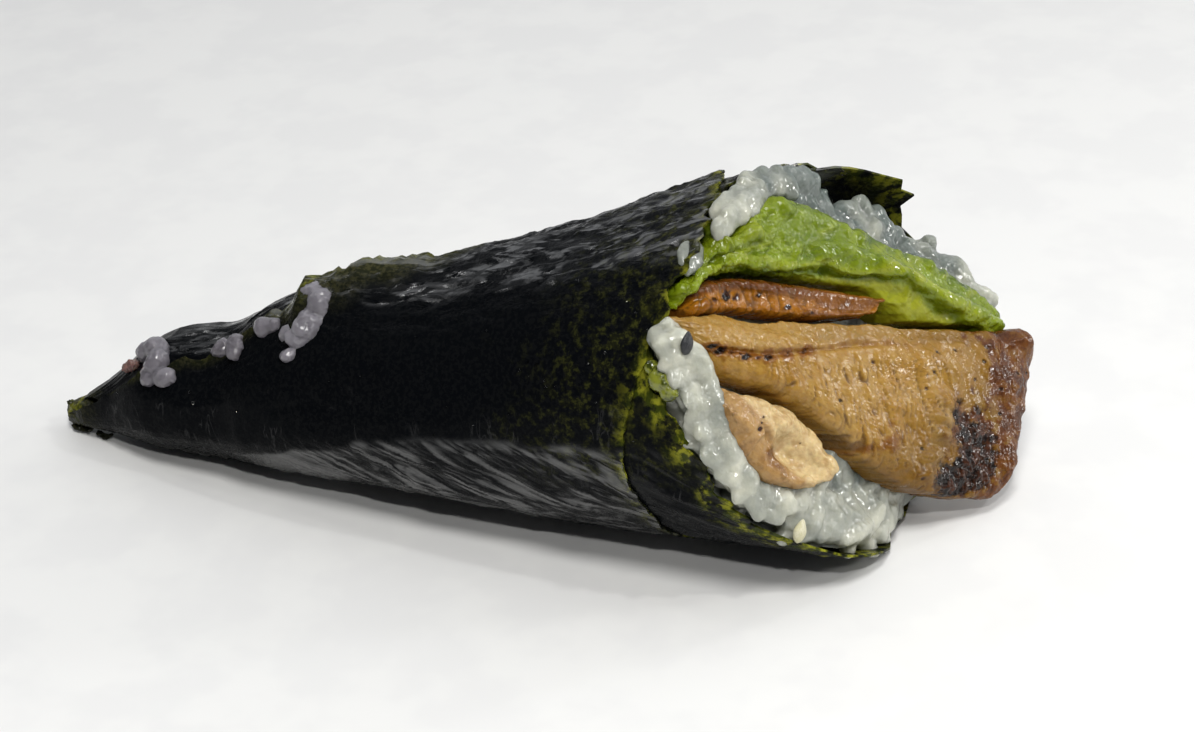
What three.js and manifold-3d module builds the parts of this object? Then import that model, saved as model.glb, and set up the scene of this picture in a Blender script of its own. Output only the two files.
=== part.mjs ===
// A temaki hand roll: a half sheet of nori rolled two turns into a cone, lying on its side,
// filled with rice, an avocado wedge and pieces of glazed chicken that show at the wide mouth.
// Units are millimetres, +Z is up, +X runs along the roll from its tip to its mouth.
import * as THREE from 'three';
import { mergeVertices } from 'three/addons/utils/BufferGeometryUtils.js';
import Module from 'manifold-3d';

const wasm = await Module();
wasm.setup();

// ---- the cone that the sheet is rolled to ----
const TIP = new THREE.Vector3(0, 0, 2.6);
const SECTION_RATIO = 1.1;           // width over height of a cross-section
const SETTLE = 0.8;                  // how far the mouth's round is pressed flat on what it lies on
// Height of the roll's top and of its raised underside at stations along X.
const STATIONS = [0, 8, 16, 22, 28.5, 34, 50, 75, 100, 130];
const TOP_HEIGHTS = [4, 9.6, 16.4, 18.3, 19.8, 23.6, 29.6, 37.6, 46.8, 57.6];
const UNDERSIDE_HEIGHTS = [0.5, 0.8, 0.4, 0.1, 0, 0, 0, 0, 0, 0];

// ---- the nori sheet ----
const NORI = 0.45;                   // thickness, damp and slightly swollen
const TIP_STARTS = { inner: 9, outer: 0.4 }; // where the first and last turns start
const TIPWARD_CROWDING = 0.85;       // below 1 the rows of the sheet's grid lie wider near the tip
const PITCH = 0.85;                  // radial step from one turn to the next
const GAP = 0.35;                    // clear space round a grain of rice
const SHEET_START = 0;               // angle round the roll, degrees: 0 is the top, 90 the far side
const UNDER_TURN = 540;              // where the outer turn passes under the roll
const SEAM_STATIONS = [0, 10, 20, 28, 34, 40, 60, 80, 130];
const SEAM_ANGLES = [655, 669, 681, 692, 700, 710, 726, 742, 765];
const SEAM_LIFT = 2.6;               // how far the free edge stands up off the roll
const SEAM_FOLD = 0.06;              // the last share of the sheet, which stands up
// How far the rim reaches along X, at angles round the inner and then the outer turn.
const RIM_ANGLES = [0, 45, 72, 80, 90, 118, 150, 180, 215, 243, 270, 297, 330,
  360, 405, 435, 452, 480, 510, 540, 575, 600, 631, 658, 693, 712, 740, 770];
const RIM_REACH = [98, 109, 118, 115, 118.5, 130, 127, 122, 120.5, 107.5, 102, 95.5, 95,
  98, 107, 113, 116.5, 124, 118, 108, 97, 94, 91.5, 93.5, 97.7, 99, 97, 94];
const SHEET_COLUMNS = 66;
const SHEET_ROWS = 13;

// ---- the mouth: a slanted plane x = at + across * y + up * z ----
const MOUTH = { at: 127.5, across: 0.42, up: -0.6 };
const MOUTH_NORMAL = new THREE.Vector3(1, -MOUTH.across, -MOUTH.up).normalize();
const FILLING_DEPTH = 0.38;          // a filling ends this share of the way out from the tip
const BED_GAP = 0.9;                 // clear space round a filling
const BED_REACH = 34;                // a filling's bed is cut this far out past the mouth
const BED_BACK = 1.3;                // clear space behind it
const BED_SHIFTS = 6;

// ---- rice ----
const GRAIN_LENGTH = 6.2;
const SEAM_GRAIN_LENGTH = 4.4;       // those at the seam have broken short
const GRAIN_WIDTH = 2.9;
const RICE_CLEARANCE = 0.5;          // between the rice's side and the inner turn of nori
const CORE_START = 15;               // the rice begins this far from the tip
const GRAIN_TRIES = 420;             // those that would cross a filling are skipped
const GRAIN_SPACING = 3.2;
const GOLDEN_ANGLE = 137.508;
const SHORT_GRAIN = 0.7;             // a grain that doesn't fit whole is tried at this share of its length
const SEED_LENGTH = 3.1;
const SEED_WIDTH = 1.9;

const COLOURS = {
  nori: new THREE.MeshStandardMaterial({ color: 0x12150f, roughness: 0.45, metalness: 0 }),
  rice: new THREE.MeshStandardMaterial({ color: 0xcfd2cf, roughness: 0.35, metalness: 0 }),
  avocado: new THREE.MeshStandardMaterial({ color: 0x93ad32, roughness: 0.4, metalness: 0 }),
  glazedChicken: new THREE.MeshStandardMaterial({ color: 0xb07a3c, roughness: 0.35, metalness: 0 }),
  paleChicken: new THREE.MeshStandardMaterial({ color: 0xc79a68, roughness: 0.5, metalness: 0 }),
};

// ---- small helpers ----
const radians = THREE.MathUtils.degToRad;
const clamp01 = (value) => THREE.MathUtils.clamp(value, 0, 1);
const smooth = (value) => THREE.MathUtils.smoothstep(value, 0, 1);

function angles(count) {
  return Array.from({ length: count }, (_, k) => (360 * k) / count);
}

function steadyRandom(seed) {
  let state = seed;
  return () => {
    state = (state * 1664525 + 1013904223) % 4294967296;
    return state / 4294967296;
  };
}

// A smooth curve through values given at rising stations.
function profile(stations, values) {
  const curve = new THREE.CubicInterpolant(stations, values, 1, new Float64Array(1));
  return (at) => curve.evaluate(THREE.MathUtils.clamp(at, stations[0], stations.at(-1)))[0];
}

const topHeight = profile(STATIONS, TOP_HEIGHTS);
const undersideHeight = profile(STATIONS, UNDERSIDE_HEIGHTS);
const rimReach = profile(RIM_ANGLES, RIM_REACH);
const seamAngle = profile(SEAM_STATIONS, SEAM_ANGLES);

// Shallow buckles that run along the roll and shift round it.
function buckle(x, angle) {
  const turn = radians(angle);
  const long = Math.sin(4 * turn + 0.05 * x) + 0.7 * Math.sin(9 * turn - 0.09 * x + 1.3);
  const cross = Math.sin(0.21 * x + 3 * turn);
  return (0.22 * long + 0.12 * cross) * clamp01(x / 25);
}

// A point at a depth inside the roll's outside, at a height above what it lies on or more.
function conePoint(x, angle, depth, floor) {
  const settle = SETTLE * clamp01((x - 12) / 60);
  const top = topHeight(x) - 0.4 * settle;
  const bottom = undersideHeight(x) - settle;
  const middle = (top + bottom) / 2;
  const halfHeight = (top - bottom) / 2;
  const turn = radians(angle);
  const inset = depth - buckle(x, angle);
  const y = (halfHeight * SECTION_RATIO - inset) * Math.sin(turn);
  const z = middle + (halfHeight - inset) * Math.cos(turn);
  return new THREE.Vector3(x, y, Math.max(z, floor));
}

function geometryFrom(points, triangles) {
  const geometry = new THREE.BufferGeometry();
  const spots = points.flatMap((point) => point.toArray());
  geometry.setAttribute('position', new THREE.Float32BufferAttribute(spots, 3));
  geometry.setIndex(triangles);
  return geometry;
}

// A closed sheet: two faces on one grid, split into triangles alike, and a strip round the edge.
function closedSheet(columns, rows, place) {
  const points = [];
  const triangles = [];
  const at = (face, i, j) => (face * (columns + 1) + i) * (rows + 1) + j;
  for (let face = 0; face < 2; face += 1) {
    for (let i = 0; i <= columns; i += 1) {
      for (let j = 0; j <= rows; j += 1) {
        points.push(place(i / columns, j / rows, face));
      }
    }
  }
  const quad = (a, b, c, d) => triangles.push(a, b, c, a, c, d);
  for (let i = 0; i < columns; i += 1) {
    for (let j = 0; j < rows; j += 1) {
      triangles.push(at(0, i, j), at(0, i + 1, j), at(0, i + 1, j + 1));
      triangles.push(at(0, i, j), at(0, i + 1, j + 1), at(0, i, j + 1));
      triangles.push(at(1, i, j), at(1, i + 1, j + 1), at(1, i + 1, j));
      triangles.push(at(1, i, j), at(1, i, j + 1), at(1, i + 1, j + 1));
    }
  }
  for (let i = 0; i < columns; i += 1) {
    quad(at(0, i + 1, 0), at(0, i, 0), at(1, i, 0), at(1, i + 1, 0));
    quad(at(0, i, rows), at(0, i + 1, rows), at(1, i + 1, rows), at(1, i, rows));
  }
  for (let j = 0; j < rows; j += 1) {
    quad(at(0, 0, j), at(0, 0, j + 1), at(1, 0, j + 1), at(1, 0, j));
    quad(at(0, columns, j + 1), at(0, columns, j), at(1, columns, j), at(1, columns, j + 1));
  }
  return geometryFrom(points, triangles);
}

// A closed skin over a row of rings, with a middle point at each end.
function closedLoft(rings, startPoint, endPoint) {
  const around = rings[0].length;
  const points = [...rings.flat(), startPoint, endPoint];
  const start = points.length - 2;
  const end = points.length - 1;
  const last = (rings.length - 1) * around;
  const triangles = [];
  for (let k = 0; k < around; k += 1) {
    const next = (k + 1) % around;
    for (let ring = 0; ring < rings.length - 1; ring += 1) {
      const a = ring * around;
      const b = a + around;
      triangles.push(a + k, a + next, b + next, a + k, b + next, b + k);
    }
    triangles.push(start, next, k, end, last + k, last + next);
  }
  return geometryFrom(points, triangles);
}

// ---- solids for joining and cutting ----
function toSolid(geometry) {
  const bare = geometry.clone();
  bare.deleteAttribute('normal');
  bare.deleteAttribute('uv');
  const merged = mergeVertices(bare, 1e-5);
  const build = (index) => new wasm.Manifold(new wasm.Mesh({
    numProp: 3,
    vertProperties: new Float32Array(merged.attributes.position.array),
    triVerts: new Uint32Array(index),
  }));
  const solid = build(merged.index.array);
  if (solid.volume() > 0) {
    return solid;
  }
  return build(merged.index.array.slice().reverse());
}

function toGeometry(solid) {
  const mesh = solid.getMesh();
  const geometry = new THREE.BufferGeometry();
  geometry.setAttribute('position', new THREE.BufferAttribute(mesh.vertProperties, 3));
  geometry.setIndex(new THREE.BufferAttribute(mesh.triVerts, 1));
  return geometry;
}

function largestPiece(solid) {
  return solid.decompose().reduce((best, piece) => (piece.volume() > best.volume() ? piece : best));
}

const crosses = (solid, others) => others.some((other) => solid.intersect(other).volume() > 1e-4);

// ---- nori ----
// The sheet starts inside, goes round twice and ends in a ragged free edge on top.
function sheetPoint(u, v, face, extra = 0) {
  const tipward = u * seamAngle(0);
  const start = THREE.MathUtils.lerp(TIP_STARTS.inner, TIP_STARTS.outer, smooth((tipward - 250) / 150));
  const along = v ** TIPWARD_CROWDING;
  let angle = THREE.MathUtils.lerp(SHEET_START, seamAngle(60), u);
  let x = 0;
  for (let pass = 0; pass < 3; pass += 1) {
    x = THREE.MathUtils.lerp(start, rimReach(angle), along);
    angle = THREE.MathUtils.lerp(SHEET_START, seamAngle(x), u);
  }
  const tatter = Math.sin(0.9 * x) * 2.2 * u ** 40;
  const fray = (Math.sin(radians(11 * angle)) + 0.6 * Math.sin(radians(23 * angle))) * 0.5 * v ** 12;
  const freeEdge = smooth((u - 1 + SEAM_FOLD) / SEAM_FOLD);
  const curl = SEAM_LIFT * freeEdge * Math.exp(-(((x - 47) / 11) ** 2)) * (1 + 0.25 * Math.sin(0.8 * x));
  const depth = PITCH * (UNDER_TURN - angle) / 360 - curl + face * NORI + extra;
  const outerTurn = angle > 360;
  const floor = (outerTurn ? 0 : PITCH) + face * NORI;
  return conePoint(x + fray, angle + tatter, depth, floor);
}

function noriSheet() {
  return toSolid(closedSheet(SHEET_COLUMNS, SHEET_ROWS, (u, v, face) => sheetPoint(u, v, face)));
}

// The pinched, torn end of the sheet.
function tipNub() {
  const nub = new THREE.IcosahedronGeometry(1, 1);
  nub.scale(2.9, 2.2, 1.8);
  nub.rotateY(radians(-12));
  nub.translate(2.4, 0, 2.8);
  return toSolid(nub);
}

// ---- rice ----
// A grain: an egg shape with blunt ends, thirty triangles.
function grainShape(length, width) {
  const grain = new THREE.SphereGeometry(0.5, 5, 4);
  const spots = grain.attributes.position;
  for (let k = 0; k < spots.count; k += 1) {
    const blunt = Math.abs(spots.getY(k)) > 0.1 ? 1.25 : 1;
    spots.setXYZ(k, spots.getX(k) * width * blunt, spots.getY(k) * length, spots.getZ(k) * width * blunt);
  }
  return grain;
}

function placedGrain(centre, direction, length, width) {
  const grain = grainShape(length, width);
  grain.applyQuaternion(new THREE.Quaternion().setFromUnitVectors(new THREE.Vector3(0, 1, 0), direction));
  grain.translate(centre.x, centre.y, centre.z);
  return toSolid(grain);
}

// Single grains that have pushed out along the seam: place along X, angle, heading and lift.
const SEAM_GRAINS = [
  { x: 15.8, angle: 341, heading: 30, lift: 0.9 }, { x: 17.4, angle: 331, heading: 100, lift: 1.1 },
  { x: 19.2, angle: 320, heading: 70, lift: 1.3 }, { x: 18.4, angle: 311, heading: 100, lift: 1.0 },
  { x: 20.8, angle: 312, heading: 10, lift: 1.2 }, { x: 28.4, angle: 331, heading: 60, lift: 0.9 },
  { x: 31.0, angle: 329, heading: 75, lift: 1.1 }, { x: 36.0, angle: 335, heading: 10, lift: 0.9 },
  { x: 41.0, angle: 357, heading: 80, lift: 1.3 }, { x: 42.4, angle: 344, heading: 30, lift: 1.4 },
  { x: 44.2, angle: 340, heading: 90, lift: 1.4 }, { x: 43.0, angle: 327, heading: 60, lift: 1.2 },
  { x: 39.8, angle: 328, heading: 20, lift: 0.5 }, { x: 40.8, angle: 314, heading: 10, lift: 0.7 },
];

function seamGrain({ x, angle, heading, lift }) {
  const depth = PITCH * (UNDER_TURN - angle - 360) / 360;
  const along = conePoint(x + 1, angle, 0, 0).sub(conePoint(x, angle, 0, 0)).normalize();
  const round = conePoint(x, angle + 4, 0, 0).sub(conePoint(x, angle, 0, 0)).normalize();
  const direction = along.multiplyScalar(Math.cos(radians(heading)));
  direction.addScaledVector(round, Math.sin(radians(heading))).normalize();
  const centre = conePoint(x, angle, depth - lift, 0);
  return placedGrain(centre, direction, SEAM_GRAIN_LENGTH, GRAIN_WIDTH);
}

function noriWrap() {
  const sheet = noriSheet().add(tipNub());
  return largestPiece(SEAM_GRAINS.reduce((joined, grain) => joined.add(seamGrain(grain)), sheet));
}

// ---- the mouth and its fillings ----
// A point drawn on the mouth's plane, stood out from it along the line from the tip.
function mouthPoint(y, z, stand) {
  const fromTip = new THREE.Vector3(MOUTH.at + MOUTH.across * y + MOUTH.up * z, y, z).sub(TIP);
  return fromTip.multiplyScalar(1 + stand / fromTip.length()).add(TIP);
}

// A strip of filling: its face lies between a low and a high edge drawn on the mouth, and its
// body runs back towards the tip.
function filling({ low, high, stand, columns, rows }) {
  const lowEdge = new THREE.SplineCurve(low.map(([y, z]) => new THREE.Vector2(y, z)));
  const highEdge = new THREE.SplineCurve(high.map(([y, z]) => new THREE.Vector2(y, z)));
  return toSolid(closedSheet(columns, rows, (u, v, face) => {
    const on = lowEdge.getPoint(u).lerp(highEdge.getPoint(u), v);
    const point = mouthPoint(on.x, on.y, face === 0 ? stand(u, v) : 0);
    return face === 0 ? point : point.sub(TIP).multiplyScalar(FILLING_DEPTH).add(TIP);
  }));
}

// The bed of a filling in the rice: its plain body carried out past the mouth and, moved back
// and a little each way, joined to itself, so that it clears the filling all round.
function fillingBed(shape) {
  const columns = shape.columns > 24 ? shape.columns / 2 : shape.columns;
  const body = filling({ ...shape, stand: () => BED_REACH, columns, rows: 1 });
  let bed = body;
  for (const gap of [BED_GAP / 2, BED_GAP]) {
    for (const turn of angles(BED_SHIFTS)) {
      const across = gap * Math.cos(radians(turn));
      const up = gap * Math.sin(radians(turn));
      bed = bed.add(body.translate([-BED_BACK, across, up]));
    }
  }
  return bed;
}

// Rounds a face off towards its four edges.
function crown(u, v, height, power = 4) {
  const across = 1 - Math.abs(2 * v - 1) ** power;
  const along = 1 - Math.abs(2 * u - 1) ** (power * 2);
  return height * Math.sqrt(Math.max(across * along, 0));
}

const AVOCADO = {
  low: [[-14.6, 38.6], [-12.2, 40.2], [-9.4, 40.1], [-6.9, 39.2], [-1.9, 36], [3.4, 32.4], [8.3, 29.4],
    [10.4, 26.5], [11.1, 23.1], [15.6, 20.2], [21.4, 16.4]],
  high: [[-13.6, 40.3], [-11.4, 41.4], [-8.6, 42.6], [-5.1, 43.8], [-0.2, 44.2], [3.6, 43.6], [7.1, 41.9],
    [10.3, 37.9], [14.7, 32.3], [20.3, 25.8], [23.3, 19.9], [22.9, 16.6]],
  stand: (u, v) => {
    const ridge = 1.6 * Math.exp(-(((v - 0.42) / 0.15) ** 2)) * smooth((u - 0.4) / 0.2);
    const lumps = 0.9 * Math.sin(14 * u + 5 * v) * Math.sin(9 * v + 3) * (1 - u);
    return 4.5 * u - 1.5 + crown(u, v, 2.4) + crown(u, v, 1, 2) * (ridge + lumps);
  },
  columns: 26,
  rows: 8,
};

const CHICKEN_SMALL = {
  low: [[-13.2, 37.9], [-10.7, 36], [-6.4, 33.1], [-2.3, 30.5], [1.2, 28.6], [6.4, 26.5]],
  high: [[-12.2, 39.1], [-9.7, 39.1], [-7.4, 38.3], [-2.3, 35.1], [3, 31.5], [7.6, 28.4], [9.1, 27]],
  stand: (u, v) => 3.5 * u - 1.5 + crown(u, v, 2.2) + 0.3 * crown(u, v, 1, 2) * Math.sin(11 * u + 4 * v),
  columns: 14,
  rows: 5,
};

const CHICKEN_LARGE = {
  low: [[-16.3, 35.4], [-17.2, 30.4], [-12.9, 25.7], [-9.9, 18.6], [-7.5, 10.9], [-2.6, 5.8], [0.8, 3.6],
    [2.3, 2.8], [3.4, 2.6]],
  high: [[-15.8, 37.6], [-13.4, 36.4], [-9.4, 33.5], [-3.7, 30.2], [3.9, 26], [11.8, 21.4], [17, 18.1],
    [19.6, 16.4], [21.3, 13.6]],
  stand: (u, v) => {
    const shoulder = 1.7 * smooth((v - 0.76) / 0.24);
    const sag = 0.5 * crown(u, v, 1, 2) * Math.sin(7 * u + 2 * v);
    const swing = 8 * (1 - (1 - u) ** 1.6) - 1.8;
    return swing + crown(u, v, 2.6) - crown(u, v, 1, 2) * shoulder + sag;
  },
  columns: 22,
  rows: 11,
};

const CHICKEN_LOWER = {
  low: [[-20.6, 28.4], [-21.6, 26.3], [-22, 23.1], [-21.9, 19.8], [-20.6, 16.9], [-17.1, 14.9],
    [-13.6, 14.2]],
  high: [[-19.6, 29.3], [-18.3, 29.2], [-16.2, 27.2], [-13.5, 24.5], [-12.3, 22.3], [-11.8, 19.6],
    [-11.7, 16.9], [-12.3, 15]],
  stand: (u, v) => {
    const hollow = 1.9 * Math.exp(-(((u - 0.66) / 0.16) ** 2) - (((v - 0.45) / 0.2) ** 2));
    return 0.2 + 0.8 * u + crown(u, v, 3) + crown(u, v, 1, 2) * (0.4 * Math.sin(13 * u - 6 * v) - hollow);
  },
  columns: 12,
  rows: 8,
};

const FILLINGS = {
  avocado: AVOCADO,
  chicken_strip_large: CHICKEN_LARGE,
  chicken_strip_small: CHICKEN_SMALL,
  chicken_piece_lower: CHICKEN_LOWER,
};

// A point on the rice's side, which follows the inner turn of nori and stands off it at the tip.
function riceSide(x, angle, extra = 0) {
  const follow = PITCH * (UNDER_TURN - angle) / 360;
  const start = PITCH * UNDER_TURN / 360;
  const turn = THREE.MathUtils.lerp(follow, start, smooth((angle - 300) / 50));
  const tipSlack = 1.3 * (1 - smooth((x - CORE_START) / 36));
  const depth = turn + NORI + RICE_CLEARANCE + tipSlack + extra;
  return conePoint(x, angle, depth, PITCH + NORI + RICE_CLEARANCE);
}

const RICE_AROUND = 32;
const RICE_BACK_RINGS = 11;
const RICE_FACE_RINGS = 5;
const RICE_CENTRE = { y: 1, z: 23 };

// The edge of the rice at the mouth swells past the nori on the far side.
function riceEdge(angle) {
  const swell = 3.8 * Math.exp(-(((angle - 96) / 24) ** 2));
  return riceSide(rimReach(angle) - 1.3 + swell, angle, 0.1 * swell);
}

// The rice's face at the mouth, from its middle (0) to its edge (1).
function riceFace(angle, out) {
  const edge = riceEdge(angle);
  const y = THREE.MathUtils.lerp(RICE_CENTRE.y, edge.y, out);
  const z = THREE.MathUtils.lerp(RICE_CENTRE.z, edge.z, out);
  const overrun = edge.x - mouthPoint(edge.y, edge.z, 0).x;
  const point = mouthPoint(y, z, 0);
  point.x += overrun * out ** 6 - 1.2 * (1 - out ** 4);
  return point;
}

function riceCore() {
  const rings = [];
  for (let ring = 0; ring <= RICE_BACK_RINGS; ring += 1) {
    const along = (ring / RICE_BACK_RINGS) ** 0.9;
    rings.push(angles(RICE_AROUND).map((angle) => {
      const x = THREE.MathUtils.lerp(CORE_START, riceEdge(angle).x, along);
      return riceSide(x, angle);
    }));
  }
  for (let ring = RICE_FACE_RINGS - 1; ring > 0; ring -= 1) {
    rings.push(angles(RICE_AROUND).map((angle) => riceFace(angle, ring / RICE_FACE_RINGS)));
  }
  const back = new THREE.Vector3(CORE_START, 0, topHeight(CORE_START) / 2);
  return toSolid(closedLoft(rings, back, riceFace(0, 0)));
}

// Grains standing in the face of the rice, spread evenly round its middle and out to its edge.
function mouthGrains(neighbours) {
  const random = steadyRandom(41);
  const grains = [];
  const centres = [];
  for (let k = 0; k < GRAIN_TRIES; k += 1) {
    const out = 0.97 * Math.sqrt((k + 0.5) / GRAIN_TRIES);
    const length = GRAIN_LENGTH * (0.85 + 0.3 * random());
    const heading = 2 * Math.PI * random();
    const tilt = 0.4 * (random() - 0.5);
    const rise = 0.2 + 0.7 * random();
    const centre = riceFace((k * GOLDEN_ANGLE) % 360, out).addScaledVector(MOUTH_NORMAL, rise);
    if (centres.some((other) => other.distanceTo(centre) < GRAIN_SPACING)) {
      continue;
    }
    const sideways = new THREE.Vector3(0, Math.cos(heading), Math.sin(heading)).cross(MOUTH_NORMAL);
    const direction = sideways.normalize().addScaledVector(MOUTH_NORMAL, tilt).normalize();
    for (const share of [1, SHORT_GRAIN]) {
      const swollen = placedGrain(centre, direction, length * share + 2 * GAP, GRAIN_WIDTH + 2 * GAP);
      if (!crosses(swollen, neighbours)) {
        grains.push(placedGrain(centre, direction, length * share, GRAIN_WIDTH));
        centres.push(centre);
        break;
      }
    }
  }
  return grains;
}

// A black seed near the mouth's left edge and a white one near its lowest point.
const SEEDS = [
  { y: -20.4, z: 36.2, lift: 1.6, direction: new THREE.Vector3(0.1, 0.25, 1) },
  { y: -21.4, z: 11.4, lift: 1.2, direction: new THREE.Vector3(0.2, 0.8, 1) },
];

function seedSolid({ y, z, lift, direction }) {
  return placedGrain(mouthPoint(y, z, lift), direction.clone().normalize(), SEED_LENGTH, SEED_WIDTH);
}

function riceFilling(nori, fillings) {
  let rice = riceCore();
  for (const shape of Object.values(FILLINGS)) {
    rice = rice.subtract(fillingBed(shape));
  }
  const neighbours = [nori, ...fillings];
  for (const grain of mouthGrains(neighbours)) {
    rice = rice.add(grain);
  }
  for (const seed of SEEDS) {
    rice = rice.add(seedSolid(seed));
  }
  return largestPiece(rice);
}

// ---- the whole roll ----
function node(name, solid, material) {
  const mesh = new THREE.Mesh(toGeometry(solid), material);
  mesh.name = name;
  return mesh;
}

const noriSolid = noriWrap();
const fillingSolids = Object.values(FILLINGS).map((shape) => filling(shape));

const roll = new THREE.Group();
roll.add(node('nori_wrap', noriSolid, COLOURS.nori));
roll.add(node('rice', riceFilling(noriSolid, fillingSolids), COLOURS.rice));
Object.keys(FILLINGS).forEach((name, k) => {
  const isPale = name === 'chicken_piece_lower';
  const chicken = isPale ? COLOURS.paleChicken : COLOURS.glazedChicken;
  roll.add(node(name, fillingSolids[k], name === 'avocado' ? COLOURS.avocado : chicken));
});

// The origin is at the middle of the footprint, on what the roll lies on.
const box = new THREE.Box3().setFromObject(roll);
const middle = box.getCenter(new THREE.Vector3());
roll.position.set(-middle.x, -middle.y, -box.min.z);
roll.updateMatrixWorld(true);

const group = new THREE.Group();
group.add(roll);
export default group;
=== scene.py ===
"""A temaki hand roll lying on its side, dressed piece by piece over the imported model."""
import math
from collections import namedtuple

import bpy
import numpy as np
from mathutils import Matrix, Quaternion, Vector
from mathutils.kdtree import KDTree


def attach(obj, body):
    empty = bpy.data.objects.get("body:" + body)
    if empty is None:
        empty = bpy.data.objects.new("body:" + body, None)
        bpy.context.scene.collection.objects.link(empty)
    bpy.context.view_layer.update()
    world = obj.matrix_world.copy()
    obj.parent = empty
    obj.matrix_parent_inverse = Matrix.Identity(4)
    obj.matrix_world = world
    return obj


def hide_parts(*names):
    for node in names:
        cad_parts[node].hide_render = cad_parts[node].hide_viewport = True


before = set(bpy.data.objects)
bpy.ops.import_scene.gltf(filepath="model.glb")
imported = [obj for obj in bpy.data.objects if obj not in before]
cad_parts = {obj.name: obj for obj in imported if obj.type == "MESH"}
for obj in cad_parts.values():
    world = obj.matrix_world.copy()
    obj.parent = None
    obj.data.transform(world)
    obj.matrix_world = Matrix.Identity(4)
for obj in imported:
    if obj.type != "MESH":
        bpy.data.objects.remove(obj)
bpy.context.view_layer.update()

# Shapes are worked out in millimetres from the roll's tip, as in the solids, and laid down in metres.
MM = 0.001
ROW_SHIFT = np.array([-67.62624, -1.84888, 0.0])

# ---- the cone that the sheet is rolled to ----
TIP = np.array([0.0, 0.0, 2.6])
SECTION_RATIO = 1.1
SETTLE = 0.8
STATIONS = [0, 8, 16, 22, 28.5, 34, 50, 75, 100, 130]
TOP_HEIGHTS = [4, 9.6, 16.4, 18.3, 19.8, 23.6, 29.6, 37.6, 46.8, 57.6]
UNDERSIDE_HEIGHTS = [0.5, 0.8, 0.4, 0.1, 0, 0, 0, 0, 0, 0]

# ---- the nori sheet ----
NORI = 0.3
NORI_SOLID = 0.45
PITCH = 0.85
RICE_CLEARANCE = 0.5
UNDER_TURN = 540
SEAM_STATIONS = [0, 10, 20, 28, 34, 40, 60, 80, 130]
SHEET_END = 765
SEAM_ANGLES = [655, 669, 681, 692, 700, 710, 726, 742, SHEET_END]
SEAM_LIFT = 2.6
SEAM_FOLD = 0.06
RIM_ANGLES = [0, 45, 72, 80, 90, 118, 150, 180, 215, 243, 270, 297, 330,
              360, 405, 435, 452, 480, 510, 540, 575, 600, 631, 658, 693, 712, 740, 770]
RIM_REACH = [98, 109, 118, 115, 118.5, 130, 127, 122, 120.5, 107.5, 102, 95.5, 95,
             98, 107, 113, 116.5, 124, 118, 108, 97, 94, 91.5, 93.5, 97.7, 99, 97, 94]

# ---- the mouth: a slanted plane x = at + across * y + up * z ----
MOUTH_AT, MOUTH_ACROSS, MOUTH_UP = 127.5, 0.42, -0.6
MOUTH_NORMAL = np.array([1, -MOUTH_ACROSS, -MOUTH_UP])
OUTWARD = MOUTH_NORMAL / np.linalg.norm(MOUTH_NORMAL)
FILLING_DEPTH = 0.38
CORE_START = 15.0
RICE_CENTRE = (1.0, 23.0)

GRAIN_LENGTH, GRAIN_WIDTH = 6.2, 2.9
GRAIN_KINDS = 7
SEED_LENGTH, SEED_WIDTH, SEED_THICKNESS = 3.1, 1.95, 1.15


# ---- small helpers ----
def clamp01(value):
    return np.clip(value, 0, 1)


def smooth(value):
    value = clamp01(value)
    return value * value * (3 - 2 * value)


def lerp(a, b, share):
    return a + (b - a) * share


def xyz(x, y=0.0, z=0.0):
    """Points in space from three coordinates, any of which may be one number."""
    return np.stack(np.broadcast_arrays(x, y, z), -1)


def hill(value, centre, width):
    """1 at the centre, falling away over the width."""
    return np.exp(-(((value - centre) / width) ** 2))


def profile(stations, values):
    """A smooth curve through values given at rising stations, with straight ends."""
    t, v = np.array(stations, float), np.array(values, float)

    def at(x):
        x = np.clip(x, t[0], t[-1])
        i = np.clip(np.searchsorted(t, x, side="right"), 1, len(t) - 1)
        before, after = np.where(i > 1, i - 2, i), np.where(i < len(t) - 1, i + 1, i - 1)
        half = (t[i] - t[i - 1]) / 2
        lead, trail = half / (t[i - 1] - t[before]), half / (t[after] - t[i])
        p = (x - t[i - 1]) / (t[i] - t[i - 1])
        return (v[before] * (-lead * p**3 + 2 * lead * p**2 - lead * p)
                + v[i - 1] * ((1 + lead) * p**3 - (1.5 + 2 * lead) * p**2 + (lead - 0.5) * p + 1)
                + v[i] * (-(1 + trail) * p**3 + (1.5 + trail) * p**2 + 0.5 * p)
                + v[after] * (trail * p**3 - trail * p**2))
    return at


def spline(points):
    """A curve through points in a plane, from 0 to 1."""
    points = np.array(points, float)
    last = len(points) - 1

    def at(share):
        place = np.clip(share, 0, 1) * last
        k = np.minimum(np.floor(place).astype(int), last)
        t = (place - k)[..., None]
        p0, p1 = points[np.maximum(k - 1, 0)], points[k]
        p2, p3 = points[np.minimum(k + 1, last)], points[np.minimum(k + 2, last)]
        v0, v1 = (p2 - p0) / 2, (p3 - p1) / 2
        return (2 * p1 - 2 * p2 + v0 + v1) * t**3 + (-3 * p1 + 3 * p2 - 2 * v0 - v1) * t**2 + v0 * t + p1
    return at


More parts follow.
